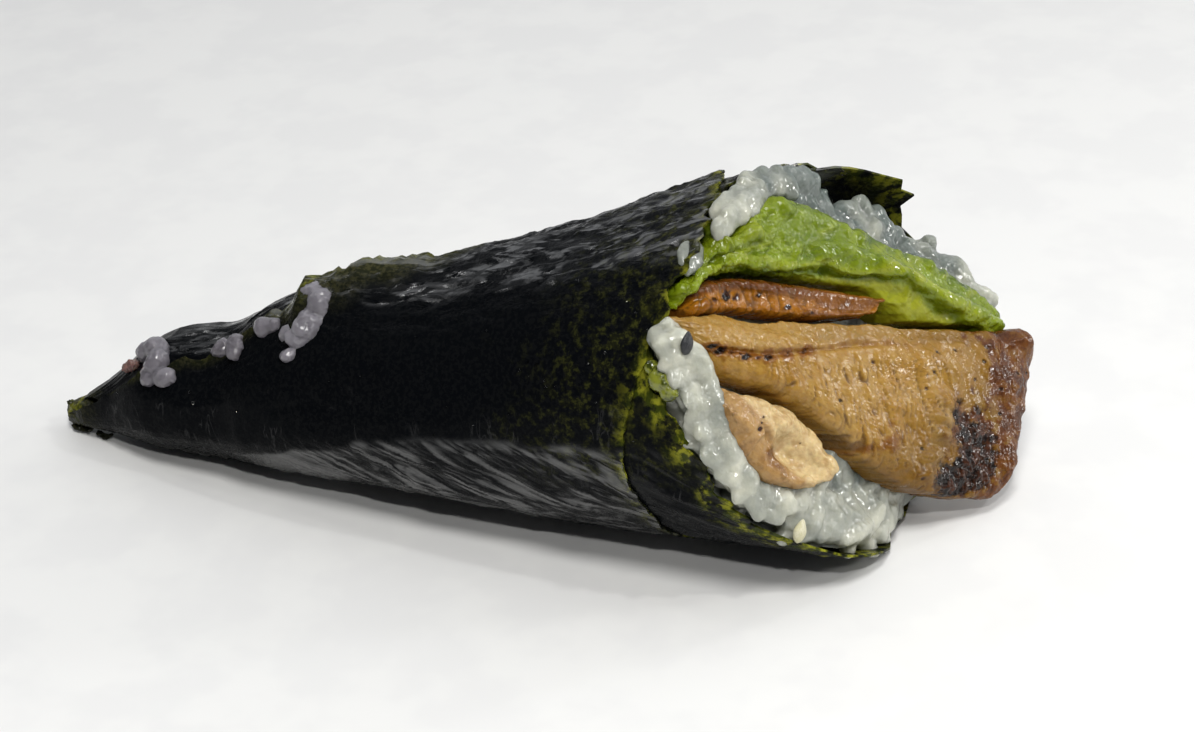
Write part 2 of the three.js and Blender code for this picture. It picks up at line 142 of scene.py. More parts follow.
class Noise:
    """Smooth random relief in space, from about -1 to 1, the same each run."""

    def __init__(self, seed):
        random = np.random.default_rng(seed)
        self.order = np.tile(random.permutation(256), 2)
        slopes = random.normal(size=(256, 3))
        self.slopes = slopes / np.linalg.norm(slopes, axis=1, keepdims=True)

    def __call__(self, points):
        points = np.asarray(points, float)
        cell = np.floor(points).astype(int)
        inside = points - cell
        fade = inside**3 * (inside * (inside * 6 - 15) + 10)
        total = 0
        for corner in np.ndindex(2, 2, 2):
            spot = (cell + corner) & 255
            key = self.order[self.order[self.order[spot[..., 0]] + spot[..., 1]] + spot[..., 2]]
            pull = (self.slopes[key] * (inside - corner)).sum(-1)
            weight = np.where(corner, fade, 1 - fade).prod(-1)
            total = total + pull * weight
        return 1.6 * total

    def rough(self, points, octaves=3, fall=0.5):
        """Several sizes of relief on one another."""
        points = np.asarray(points, float)
        total, size = 0, 1.0
        for k in range(octaves):
            total = total + size * self(points * 2**k + 17.3 * k)
            size *= fall
        return total

    def creases(self, points, octaves=2):
        """Sharp ridges between soft hollows, 0 to about 1."""
        points = np.asarray(points, float)
        total, size, most = 0, 1.0, 0
        for k in range(octaves):
            total = total + size * (1 - np.abs(self(points * 2**k + 31.7 * k))) ** 3
            most += size
            size *= 0.5
        return total / most


top_height = profile(STATIONS, TOP_HEIGHTS)
underside_height = profile(STATIONS, UNDERSIDE_HEIGHTS)
rim_reach = profile(RIM_ANGLES, RIM_REACH)
seam_angle = profile(SEAM_STATIONS, SEAM_ANGLES)


def buckle(x, angle):
    """Shallow buckles that run along the roll and shift round it."""
    turn = np.radians(angle)
    long = np.sin(4 * turn + 0.05 * x) + 0.7 * np.sin(9 * turn - 0.09 * x + 1.3)
    cross = np.sin(0.21 * x + 3 * turn)
    return (0.22 * long + 0.12 * cross) * clamp01(x / 25)


def cone_point(x, angle, depth, floor=0.0):
    """A point at a depth inside the roll's outside, at a height above what it lies on or more."""
    settle = SETTLE * clamp01((x - 12) / 60)
    top = top_height(x) - 0.4 * settle
    bottom = underside_height(x) - settle
    middle, half = (top + bottom) / 2, (top - bottom) / 2
    turn = np.radians(angle)
    inset = depth - buckle(x, angle)
    y = (half * SECTION_RATIO - inset) * np.sin(turn)
    z = middle + (half - inset) * np.cos(turn)
    return xyz(x, y, np.maximum(z, floor))


def mouth_point(y, z, stand=0.0):
    """A point drawn on the mouth's plane, stood out from it along the line from the tip."""
    from_tip = xyz(MOUTH_AT + MOUTH_ACROSS * y + MOUTH_UP * z, y, z) - TIP
    length = np.linalg.norm(from_tip, axis=-1, keepdims=True)
    return TIP + from_tip * (1 + np.asarray(stand)[..., None] / length)


def on_mouth(points):
    """Where lines from the tip through points meet the mouth: y, z and how far out the points stand."""
    from_tip = points - TIP
    share = (MOUTH_AT - MOUTH_NORMAL @ TIP) / (from_tip @ MOUTH_NORMAL)
    meet = TIP + from_tip * share[..., None]
    stand = np.linalg.norm(from_tip, axis=-1) * (1 - share)
    return meet[..., 1], meet[..., 2], stand


# ---- making meshes ----
def start_clean():
    if bpy.context.object and bpy.context.object.mode != "OBJECT":
        bpy.ops.object.mode_set(mode="OBJECT")
    bpy.ops.object.select_all(action="DESELECT")


def spots_of(piece):
    spots = np.empty(len(piece.data.vertices) * 3)
    piece.data.vertices.foreach_get("co", spots)
    return spots.reshape(-1, 3)


def normals_of(piece):
    piece.data.update()
    normals = np.empty(len(piece.data.vertices) * 3)
    piece.data.vertices.foreach_get("normal", normals)
    return normals.reshape(-1, 3)


def put_spots(piece, spots):
    piece.data.vertices.foreach_set("co", np.ascontiguousarray(spots, float).ravel())
    piece.data.update()


def put_values(piece, name, values):
    """A value at each corner of the piece that its material reads."""
    values = np.ascontiguousarray(values, np.float32).ravel()
    held = piece.data.attributes.new(name, "FLOAT", "POINT")
    held.data.foreach_set("value", values)


def lay_down(piece):
    """From millimetres at the tip to metres in the frame, pressed flat where it meets what it lies on."""
    spots = (spots_of(piece) + ROW_SHIFT) * MM
    spots[:, 2] = np.maximum(spots[:, 2], 0)
    put_spots(piece, spots)


def named(name):
    piece = bpy.context.object
    piece.name = piece.data.name = name
    return piece


def grid_piece(name, columns, rows, place):
    """A flat grid whose corners are laid where place(u, v) says."""
    start_clean()
    bpy.ops.mesh.primitive_grid_add(x_subdivisions=columns, y_subdivisions=rows, size=2)
    piece = named(name)
    flat = spots_of(piece)
    u, v = (flat[:, 0] + 1) / 2, (flat[:, 1] + 1) / 2
    put_spots(piece, place(u, v))
    return piece, u, v


def apply_all(piece):
    bpy.context.view_layer.objects.active = piece
    for modifier in list(piece.modifiers):
        bpy.ops.object.modifier_apply(modifier=modifier.name)


def shade(piece, sharp=None):
    start_clean()
    piece.select_set(True)
    bpy.context.view_layer.objects.active = piece
    if sharp is None:
        bpy.ops.object.shade_smooth()
    else:
        bpy.ops.object.shade_smooth_by_angle(angle=math.radians(sharp))


def finish_piece(piece, material, slot, *nodes, sharp=None):
    """Lays a piece in the frame, smooths it, gives it its material, hangs it from the root and hides the
    model parts it stands for.
    """
    lay_down(piece)
    shade(piece, sharp)
    piece.data.materials.clear()
    piece.data.materials.append(material)
    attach(piece, "root")
    if nodes:
        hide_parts(*nodes)


# ---- making materials ----
def add_node(tree, kind, inputs=None, **settings):
    made = tree.nodes.new(kind)
    for name, value in settings.items():
        setattr(made, name, value)
    for name, value in (inputs or {}).items():
        socket = made.inputs[name]
        if isinstance(value, bpy.types.NodeSocket):
            tree.links.new(value, socket)
        else:
            socket.default_value = value
    return made


def group_of(name, inputs, outputs):
    """An empty node group with named sockets: name, kind and default value of each."""
    tree = bpy.data.node_groups.new(name, "ShaderNodeTree")
    for socket, kind, value in inputs:
        made = tree.interface.new_socket(socket, in_out="INPUT", socket_type="NodeSocket" + kind)
        if value is not None:
            made.default_value = value
    for socket, kind in outputs:
        tree.interface.new_socket(socket, in_out="OUTPUT", socket_type="NodeSocket" + kind)
    return tree, tree.nodes.new("NodeGroupInput"), tree.nodes.new("NodeGroupOutput")


def patches_group():
    """Soft-edged patches of a size, 0 outside and 1 inside."""
    tree, given, out = group_of("patches", [
        ("Vector", "Vector", None), ("Scale", "Float", 400.0), ("Detail", "Float", 3.0),
        ("From", "Float", 0.45), ("To", "Float", 0.6)], [("Mask", "Float")])
    noise = add_node(tree, "ShaderNodeTexNoise", {
        "Vector": given.outputs["Vector"], "Scale": given.outputs["Scale"],
        "Detail": given.outputs["Detail"], "Roughness": 0.6})
    spread = add_node(tree, "ShaderNodeMapRange", {
        "Value": noise.outputs["Fac"], "From Min": given.outputs["From"],
        "From Max": given.outputs["To"]}, interpolation_type="SMOOTHSTEP")
    tree.links.new(spread.outputs["Result"], out.inputs["Mask"])
    return tree


def ridges_group():
    """Thin crisp ridges between soft hollows, 0 to 1, as crinkled seaweed has."""
    tree, given, out = group_of("ridges", [
        ("Vector", "Vector", None), ("Stretch", "Vector", (5, 1, 1)), ("Turn", "Vector", (0, 0, 0)),
        ("Scale", "Float", 900.0), ("Width", "Float", 0.12)], [("Height", "Float")])
    turned = add_node(tree, "ShaderNodeMapping", {
        "Vector": given.outputs["Vector"], "Rotation": given.outputs["Turn"],
        "Scale": given.outputs["Stretch"]}, vector_type="TEXTURE")
    noise = add_node(tree, "ShaderNodeTexNoise", {
        "Vector": turned.outputs["Vector"], "Scale": given.outputs["Scale"],
        "Detail": 2.0, "Roughness": 0.55, "Distortion": 0.8})
    off = add_node(tree, "ShaderNodeMath", {0: noise.outputs["Fac"], 1: 0.5}, operation="SUBTRACT")
    away = add_node(tree, "ShaderNodeMath", {0: off.outputs[0]}, operation="ABSOLUTE")
    ridge = add_node(tree, "ShaderNodeMapRange", {
        "Value": away.outputs[0], "From Min": 0.0, "From Max": given.outputs["Width"],
        "To Min": 1.0, "To Max": 0.0}, interpolation_type="SMOOTHSTEP")
    tree.links.new(ridge.outputs["Result"], out.inputs["Height"])
    return tree


def use_group(tree, group, **inputs):
    return add_node(tree, "ShaderNodeGroup", inputs, node_tree=group).outputs[0]


# Where Blender's colour mixing node has its share, its two colours and its result.
MIX_SHARE, MIX_FIRST, MIX_OTHER, MIX_RESULT = 0, 6, 7, 2


class Finish:
    """A material under its own name, and short ways to build up its colour and relief."""

    def __init__(self, name, **shader):
        self.material = bpy.data.materials.new(name)
        self.material.use_nodes = True
        self.tree = self.material.node_tree
        self.shader = self.tree.nodes["Principled BSDF"]
        for socket, value in shader.items():
            self.shader.inputs[socket.replace("_", " ")].default_value = value
        self.place = add_node(self.tree, "ShaderNodeTexCoord").outputs["Object"]

    def value(self, name):
        return add_node(self.tree, "ShaderNodeAttribute", attribute_name=name).outputs["Fac"]

    def patches(self, scale, low, high, detail=3.0, vector=None):
        return use_group(self.tree, PATCHES, Vector=vector or self.place, Scale=scale, Detail=detail,
                         From=low, To=high)

    def drawn_out(self, stretch, turn):
        """Places for a texture that is drawn out along a turned direction."""
        return add_node(self.tree, "ShaderNodeMapping", {
            "Vector": self.place, "Rotation": turn, "Scale": stretch},
            vector_type="TEXTURE").outputs["Vector"]

    def ridges(self, scale, stretch, width, turn=(0, 0, 0)):
        return use_group(self.tree, RIDGES, Vector=self.place, Scale=scale, Stretch=stretch, Turn=turn,
                         Width=width)

    def mix(self, mask, colour, other):
        """The first colour where the mask is 0, the other where it is 1."""
        first, last = (c if isinstance(c, bpy.types.NodeSocket) else (*c, 1) for c in (colour, other))
        return add_node(self.tree, "ShaderNodeMix", {MIX_SHARE: mask, MIX_FIRST: first, MIX_OTHER: last},
                        data_type="RGBA").outputs[MIX_RESULT]

    def maths(self, operation, *values):
        return add_node(self.tree, "ShaderNodeMath", dict(enumerate(values)), operation=operation).outputs[0]

    def times(self, value, other):
        return self.maths("MULTIPLY", value, other)

    def spread(self, value, low, high, start=0.0, end=1.0):
        return add_node(self.tree, "ShaderNodeMapRange", {
            "Value": value, "From Min": low, "From Max": high, "To Min": start, "To Max": end},
            interpolation_type="SMOOTHSTEP").outputs["Result"]

    def sum_of(self, *parts):
        """Adds up (value, weight) pairs."""
        total = None
        for value, weight in parts:
            share = self.times(value, weight)
            total = share if total is None else self.maths("ADD", total, share)
        return total

    def colour(self, socket):
        self.feed("Base Color", socket)

    def feed(self, name, socket):
        self.tree.links.new(socket, self.shader.inputs[name])

    def relief(self, height, depth_mm):
        bump = add_node(self.tree, "ShaderNodeBump", {"Height": height, "Distance": depth_mm * MM})
        self.feed("Normal", bump.outputs["Normal"])


PATCHES = patches_group()
RIDGES = ridges_group()


# ---- finishes ----
# A mottled surface wanders between the two colours of a pair.
NORI_BLACK = ((0.0026, 0.0031, 0.0040), (0.0044, 0.0049, 0.0056))
NORI_LEAF = ((0.018, 0.020, 0.008), (0.052, 0.050, 0.020))
NORI_FLECK = (0.034, 0.036, 0.008)
NORI_GLOW = ((0.035, 0.045, 0.004), (0.26, 0.26, 0.02))
BLISTER_OLIVE = ((0.035, 0.045, 0.004), (0.20, 0.22, 0.025))
AVOCADO_GREEN = ((0.12, 0.17, 0.004), (0.175, 0.23, 0.006))
# The avocado's darker green, used for its painted shade and along its top at the right.
AVOCADO_PALE = (0.29, 0.305, 0.014)
AVOCADO_DARK = (0.06, 0.10, 0.003)
BROWNED = ((0.115, 0.036, 0.008), (0.055, 0.016, 0.003))
BURNT = ((0.006, 0.003, 0.002), (0.045, 0.014, 0.005))
# Painted shade in the grooves between the meat's fibres.
FIBRE_SLOT = (0.085, 0.036, 0.007)
STAINED = (0.17, 0.06, 0.007)
# Cooked and loose rice: dim, clear and white.
COOKED_RICE = ((0.20, 0.22, 0.205), (0.10, 0.12, 0.11), (0.56, 0.555, 0.465))
LOOSE_RICE = ((0.10, 0.095, 0.11), (0.11, 0.10, 0.115), (0.27, 0.26, 0.29))
# Chicken: flesh, pale flesh, glaze and stain.
GLAZED = ((0.315, 0.177, 0.030), (0.40, 0.26, 0.09), (0.255, 0.12, 0.010), STAINED)
DARK_GLAZED = ((0.165, 0.055, 0.005), (0.30, 0.115, 0.006), (0.15, 0.045, 0.004), (0.09, 0.026, 0.003))
PALE_MEAT = ((0.31, 0.165, 0.05), (0.58, 0.44, 0.22), (0.27, 0.125, 0.03), STAINED)
BLACK_SESAME = ((0.012, 0.013, 0.016), (0.03, 0.032, 0.036))
WHITE_SESAME = ((0.50, 0.47, 0.29), (0.58, 0.55, 0.4))
CRUMB_PINK = ((0.22, 0.13, 0.115), (0.15, 0.08, 0.07))
TABLE_WHITE = ((0.76, 0.76, 0.76), (0.79, 0.79, 0.785))


def nori_finish():
    """Dried seaweed, damp: near black, olive in patches, and olive along its torn edges with a painted glow
    of light let through the thin sheet.
    """
    f = Finish("damp_nori", Specular_IOR_Level=0.02, Coat_IOR=2.05, Coat_Roughness=0.24)
    rim, torn, crinkled, folded, leaf, sheen = (
        f.value(name) for name in ("rim", "torn", "crinkled", "folded", "leaf", "sheen"))
    blotches = f.patches(700, 0.46, 0.62, detail=6.0)
    fine = f.patches(1700, 0.44, 0.6, detail=4.0)
    flecks = f.times(f.times(rim, blotches), f.spread(fine, 0, 1, 0.3, 1.0))
    colour = f.mix(fine, *NORI_BLACK)
    colour = f.mix(leaf, colour, f.mix(fine, *NORI_LEAF))
    colour = f.mix(flecks, colour, NORI_FLECK)
    # Painted glow: where the torn value is high the colour turns yellow-olive, the edges' own olive with the
    # glow of light let through the thin sheet painted in.
    glow = f.mix(f.patches(600, 0.42, 0.6, detail=4.0), *NORI_GLOW)
    patchy = f.times(torn, f.spread(f.patches(380, 0.43, 0.55, detail=6.0), 0.0, 1.0, 0.04, 1.0))
    colour = f.mix(patchy, colour, glow)
    f.colour(colour)
    long_ridges = f.times(f.ridges(560, (5, 1, 1), 0.2, (0, 0, 0.08)), crinkled)
    folds = f.times(f.ridges(340, (5, 1, 1), 0.16, (0, 0.42, 0)), folded)
    small_folds = f.times(f.ridges(900, (5, 1, 1), 0.2, (0, 0.3, 0)), folded)
    round_ridges = f.ridges(620, (1, 4, 4), 0.045)
    threads = f.ridges(1300, (3, 1, 1), 0.1, (0, 0.4, 0.5))
    along = f.drawn_out((3, 1, 1), (0, 0, 0.1))
    crumples = f.times(f.patches(300, 0.46, 0.58, detail=5.0, vector=along), crinkled)
    matt = f.sum_of((long_ridges, 0.7), (crumples, 0.6), (folds, 0.55), (small_folds, 0.3))
    glossy = f.times(sheen, f.spread(matt, 0, 1, 1.0, 0.1))
    strokes = f.times(round_ridges, f.patches(160, 0.52, 0.6, detail=2.0))
    glossy = f.maths("MAXIMUM", glossy, f.times(strokes, 0.24))
    f.feed("Coat Weight", f.spread(glossy, 0, 1))
    f.feed("Roughness", f.spread(fine, 0, 1, 0.22, 0.34))
    f.relief(f.sum_of((long_ridges, 0.085), (crumples, -0.12), (folds, 0.08), (small_folds, 0.02),
                      (round_ridges, 0.01), (threads, 0.008), (fine, 0.004)), 1.0)
    return f.material


def rice_finish(name, dim, clear, white):
    """Cooked rice: moist and cloudy, some grains clearer than others, and some darker where shade is painted
    into their tone.
    """
    f = Finish(name, Subsurface_Weight=1.0, Subsurface_Scale=0.0024, Subsurface_Radius=(1.0, 1.0, 0.92),
               Specular_IOR_Level=0.5)
    cloud = f.patches(380, 0.34, 0.66)
    colour = f.mix(f.value("tone"), clear, white)
    f.colour(f.mix(f.times(cloud, 0.4), colour, dim))
    f.feed("Roughness", f.spread(cloud, 0, 1, 0.1, 0.24))
    swells, beads = f.patches(620, 0.3, 0.7, detail=1.0), f.patches(1500, 0.4, 0.7, detail=1.0)
    f.relief(f.sum_of((swells, 0.7), (beads, 0.25)), 0.1)
    return f.material


def seed_finish(name, colours):
    f = Finish(name, Roughness=0.42, Specular_IOR_Level=0.5)
    f.colour(f.mix(f.patches(1200, 0.4, 0.62), *colours))
    f.relief(f.patches(4000, 0.4, 0.6, detail=1.0), 0.03)
    return f.material


def avocado_finish():
    """Ripe flesh: creamy and smeared above, pale where the knife went through, with painted shade under the
    ridge and in its hollows.
    """
    f = Finish("avocado_flesh", Specular_IOR_Level=0.35, Subsurface_Weight=0.35, Subsurface_Scale=0.0014,
               Subsurface_Radius=(1.0, 1.0, 0.3))
    pale, dark, wet = f.value("pale"), f.value("dark"), f.value("wet")
    cloud = f.patches(190, 0.36, 0.64, detail=4.0)
    colour = f.mix(cloud, *AVOCADO_GREEN)
    colour = f.mix(pale, colour, AVOCADO_PALE)
    # Painted shade: the dark value turns the green darker under the ridge, in hollows and pits; also darker
    # green along the top at the right, and at random.
    colour = f.mix(dark, colour, AVOCADO_DARK)
    f.colour(colour)
    f.feed("Roughness", f.sum_of((wet, -0.18), (f.patches(700, 0.4, 0.6), 0.08), (0.27, 1.0)))
    beads = f.times(f.patches(1500, 0.56, 0.72, detail=1.0), wet)
    smears = f.patches(420, 0.3, 0.7, detail=2.5, vector=f.drawn_out((3, 1, 1), (0, 0.75, 0)))
    f.relief(f.sum_of((smears, 2.2), (f.patches(650, 0.3, 0.7, detail=1.0), 0.9), (beads, 1.0)), 0.09)
    return f.material


def chicken_finish(name, flesh, pale, glaze, stained):
    """Grilled chicken under a sweet glaze: pale flesh, browner where the glaze lies, char in spots, and
    painted shade where a piece lies low or hollow.
    """
    f = Finish(name, Specular_IOR_Level=0.32, Subsurface_Weight=0.25, Subsurface_Scale=0.0016,
               Subsurface_Radius=(1.0, 0.6, 0.3))
    brown, char, light, fibre, wet, red, painted_shade_and_mottle = (
        f.value(name) for name in ("brown", "char", "light", "fibre", "wet", "red", "painted_shade_and_mottle"))
    cloud = f.patches(230, 0.36, 0.66, detail=5.0)
    fine = f.patches(1100, 0.42, 0.6, detail=3.0)
    colour = f.mix(f.times(cloud, 0.5), flesh, glaze)
    colour = f.mix(light, colour, pale)
    colour = f.mix(f.times(fine, 0.15), colour, stained)
    colour = f.mix(brown, colour, stained)
    # Painted shade: a darker glaze where the shade-and-mottle value is high.
    colour = f.mix(f.times(painted_shade_and_mottle, 0.75), colour, tuple(0.45 * part for part in glaze))
    mottled = f.patches(420, 0.4, 0.64, detail=5.0)
    red = f.spread(f.times(red, f.spread(mottled, 0, 1, 0.7, 1.3)), 0.1, 0.9)
    colour = f.mix(red, colour, f.mix(mottled, *BROWNED))
    # Painted shade: the slots between fibres are painted dark brown.
    colour = f.mix(f.times(fibre, 0.85), colour, FIBRE_SLOT)
    burnt = f.patches(650, 0.42, 0.62, detail=5.0)
    f.colour(f.mix(char, colour, f.mix(burnt, *BURNT)))
    gloss = f.sum_of((fine, 0.04), (wet, -0.18), (char, -0.1), (cloud, 0.04), (0.27, 1.0))
    f.feed("Roughness", f.maths("MAXIMUM", gloss, 0.1))
    droplets = f.times(f.patches(1000, 0.52, 0.68, detail=1.0), wet)
    pebbles = f.patches(640, 0.3, 0.7, detail=1.0, vector=f.drawn_out((1, 1, 2.2), (0, 0, 0)))
    pebbled = f.times(pebbles, f.spread(wet, 0, 1, 0.15, 1.0))
    f.relief(f.sum_of((f.patches(1300, 0.3, 0.7, detail=3.0), 0.15), (pebbled, 0.6), (droplets, 0.7)), 0.12)
    return f.material


def floor_finish():
    f = Finish("pale_table", Roughness=0.6, Specular_IOR_Level=0.3)
    f.colour(f.mix(f.patches(60, 0.4, 0.6), *TABLE_WHITE))
    return f.material


def moisture_finish():
    """Clear beads of water."""
    return Finish("moisture", Base_Color=(0.96, 0.97, 0.93, 1), Roughness=0.02, IOR=1.33,
                  Transmission_Weight=1.0).material


def bubble_finish():
    """A wet olive blister of the sheet, glossy all over."""
    f = Finish("wet_blister", Roughness=0.2, Specular_IOR_Level=0.3, Coat_Weight=0.7, Coat_Roughness=0.02)
    f.colour(f.mix(f.patches(800, 0.4, 0.6, detail=3.0), *BLISTER_OLIVE))
    f.relief(f.patches(1100, 0.4, 0.62, detail=1.0), 0.02)
    return f.material


def crumb_finish():
    f = Finish("pink_crumb", Roughness=0.4, Subsurface_Weight=0.4, Subsurface_Scale=0.0008)
    f.colour(f.mix(f.patches(1300, 0.4, 0.6), *CRUMB_PINK))
    f.relief(f.patches(1800, 0.35, 0.65), 0.06)
    return f.material


# ---- nori ----
# Each piece of the sheet: the turn's angles that it spans, and how many columns go up to each angle.
INNER_TURN = [(0, 0), (60, 14), (130, 30), (235, 44), (325, 96)]
OUTER_TURN = [(325, 0), (405, 44), (540, 52), (SHEET_END, 226)]
INNER_ROWS, OUTER_ROWS = 120, 138


def round_the_roll(x, angle, radius, stretch, twist=0.0):
    """Where relief is looked up, so that it follows the roll round and is drawn out along it."""
    turn = np.radians(angle + twist * x)
    return xyz(x * stretch, radius * np.cos(turn), radius * np.sin(turn))


def band(angle, low, high, soft=12):
    """1 between two angles round the roll, whatever the turn."""
    middle, half = (low + high) / 2, (high - low) / 2
    off = np.abs((angle - middle + 180) % 360 - 180)
    return 1 - smooth((off - half) / soft + 0.5)


def ridge_line(angle, at, reach):
    """1 on a sharp ridge along the roll, falling straight away over the reach, in degrees."""
    off = np.abs((angle - at + 180) % 360 - 180)
    return clamp01(1 - off / reach)


def wrinkles(x, angle):
    """Creases of the sheet, in millimetres out from its smooth cone. Both turns share them."""
    def creases(seed, radius, stretch, twist, octaves=2):
        return Noise(seed).creases(round_the_roll(x, angle, radius, stretch, twist), octaves)
    wobble = 5 * Noise(2)(xyz(0.09 * x)) + 3 * Noise(4)(xyz(0.3 * x))
    upper = band(angle, 322, 402, 16) * smooth((x - 34) / 12)
    lower = band(angle, 180, 272, 10) * smooth((x - 40) / 18)
    humps = band(angle, 315, 400, 20) * (1 - smooth((x - 32) / 8))
    near_tip = band(angle, 205, 320, 20) * (1 - smooth((x - 48) / 26))
    lengthwise, crossed = creases(3, 11, 0.12, 0.35), creases(8, 7, 0.2, -0.5, 1)
    fold, small_fold = creases(5, 4.6, 0.05, 1.45, 1), creases(6, 9, 0.11, 1.3)
    pinch, around = creases(9, 8, 0.12, -0.9), creases(10, 1.7, 0.5, 0.6)
    swell = Noise(7)(round_the_roll(x, angle, 2.6, 0.07))
    edge = ridge_line(angle, 271 + wobble, 15) * smooth((x - 36) / 10) * (1 - smooth((x - 88) / 12))
    relief = (upper * (0.55 * (lengthwise - 0.4) + 0.2 * (crossed - 0.4))
              + lower * (0.42 * (fold - 0.35) + 0.3 * (small_fold - 0.4))
              + humps * 0.55 * (pinch - 0.45) + near_tip * 0.3 * (around - 0.45)
              + 0.06 * (lengthwise - 0.4) + 0.2 * swell + 0.5 * edge)
    return relief * smooth(x / 12)


def sheet_point(share, v):
    """The sheet's outer face, as the solid has it, with its creases and ragged edges."""
    start = lerp(9.0, 0.4, smooth((share * seam_angle(0) - 250) / 150))
    along = v**0.85
    angle = lerp(0, seam_angle(60), share)
    for _ in range(3):
        x = lerp(start, rim_reach(angle), along)
        angle = lerp(0, seam_angle(x), share)
    rag = Noise(11).rough(xyz(0.16 * angle, 0, 2.5), 5, 0.62)
    seam_rag = Noise(13).rough(xyz(0.35 * x, 0, 8.5), 4, 0.7)
    fray = (np.sin(np.radians(11 * angle)) + 0.6 * np.sin(np.radians(23 * angle))) * 0.15 * v**12
    outer_turn = angle > 360
    front = band(angle, 205, 320, 30) * outer_turn
    fray = (fray + 1.25 * rag * v**30) * (1 - 0.75 * front)
    loose = 1 - smooth((x - 54) / 10)
    tatter = (np.sin(0.9 * x) * 1.0 + 2.6 * seam_rag) * share**60 * (0.12 + 0.88 * loose)
    free_edge = smooth((share - 1 + SEAM_FOLD) / SEAM_FOLD)
    lifted = smooth((x - 38.5) / 3) * (1 - smooth((x - 45) / 18))
    curl = SEAM_LIFT * free_edge * lifted * (1 + 0.15 * np.sin(0.8 * x))
    curl = curl + 0.55 * smooth((share - 0.975) / 0.025) * (0.7 + 0.8 * seam_rag) * loose
    ease = np.where(outer_turn, 1.0, 0.8)
    flare = 0.9 * Noise(15)(xyz(0.05 * angle)) * v**14 * (1 - front)
    flare = flare - 0.44 * front * smooth((v - 0.88) / 0.1)
    flap = 1.6 * hill(angle, 82, 9) * v**10
    tuck = 1.1 * (1 - smooth((x - 0.4) / 3))
    depth = PITCH * (UNDER_TURN - angle) / 360 - curl - flare - flap - ease * wrinkles(x, angle) + tuck
    floor = np.where(outer_turn, 0.0, PITCH)
    return cone_point(x + fray, angle + tatter, depth, floor), x, angle, share


def make_sheet(name, columns, rows, material):
    """One piece of the rolled sheet, between two angles of its turns."""
    seen = {}
    angles, counts = np.array(columns, float).T

    def place(u, v):
        share = np.interp(u * counts[-1], counts, angles) / SHEET_END
        spots, seen["x"], seen["angle"], seen["share"] = sheet_point(share, v)
        return spots
    sheet, _, _ = grid_piece(name, int(counts[-1]), rows, place)
    bpy.ops.object.mode_set(mode="EDIT")
    bpy.ops.mesh.select_all(action="SELECT")
    bpy.ops.mesh.flip_normals()
    bpy.ops.object.mode_set(mode="OBJECT")
    wall = sheet.modifiers.new("thickness", "SOLIDIFY")
    wall.thickness, wall.offset = NORI, -1
    apply_all(sheet)
    for key, values in sheet_values(**seen).items():
        put_values(sheet, key, np.tile(values, 2))
    finish_piece(sheet, material, "nori", "nori_wrap", sharp=50)


def sheet_values(x, angle, share):
    """Where the sheet is olive, thin and painted with a glow of let-through light, crinkled or leafy."""
    from_rim = rim_reach(angle) - x
    rag = Noise(21).rough(xyz(0.06 * angle, 0.2 * x))
    inner = (angle < 345).astype(float)
    lit = band(angle, 205, 300, 20) * inner
    far = band(angle, 40, 88, 16) * inner
    rim = smooth(1 - from_rim / (22 + 8 * rag)) * band(angle, 262, 400, 24)
    rim = np.maximum(rim, 0.9 * far * smooth(1.2 - from_rim / 12))
    # Torn: the thin rim, the lit band of the inner turn and its far side near the rim, and the seam's edge,
    # which are painted olive with a glow of let-through light.
    torn = np.exp(-np.clip(from_rim, 0, None) / (0.8 + 0.6 * clamp01(rag)))
    torn = torn * (0.35 + 0.65 * clamp01(rag + 0.5))
    torn = np.maximum(torn, lit * smooth(1.15 - from_rim / (5 + 4 * rag)))
    torn = np.maximum(torn, 0.55 * far * smooth(1.1 - from_rim / (6 + 4 * rag)))
    from_seam = (1 - share) * SHEET_END
    flap = smooth((x - 38) / 3) * (1 - smooth((x - 54) / 12))
    leaf = smooth(1 - from_seam / (13 + 12 * flap + 5 * rag)) * smooth((x - 12) / 4)
    leaf = leaf * (1 - smooth((x - 58) / 8)) * (share > 0.9)
    crest = hill(x, 41, 2.5)
    edge = np.exp(-from_seam / (2.2 + 4 * crest)) * smooth((x - 8) / 4) * (1 - smooth((x - 60) / 8))
    edge = edge * (0.25 + 0.6 * clamp01(rag + 0.3) + 0.5 * crest) * (0.25 + 0.75 * smooth((x - 32) / 6))
    near_tip = 1 - smooth((x - 3) / 5)
    wander = angle + 2.5 * Noise(22).rough(xyz(0.16 * x, 0.05 * angle), 3)
    top = band(wander, 336, 410, 10)
    drop = 32 * (1 - smooth((x - 20) / 42))
    underneath = band(wander + drop, 120 + drop, 273, 5) * (0.25 + 0.57 * smooth((x - 26) / 20))
    crinkled = band(angle, 322, 405, 16) * smooth((x - 10) / 10)
    folded = band(angle, 180, 274, 8) * smooth((x - 34) / 16)
    sheen = np.maximum(top, underneath) * (1 - 0.75 * inner * lit) * (0.25 + 0.75 * smooth((x - 10) / 28))
    leafy = leaf * (0.4 + 0.6 * smooth((x - 30) / 8)) + 0.35 * near_tip
    return {"rim": clamp01(rim + 0.5 * near_tip), "torn": clamp01(np.maximum(torn, edge)),
            "crinkled": 0.06 + 0.94 * clamp01(crinkled), "folded": clamp01(folded),
            "leaf": clamp01(leafy), "sheen": 0.04 + 0.96 * clamp01(sheen)}


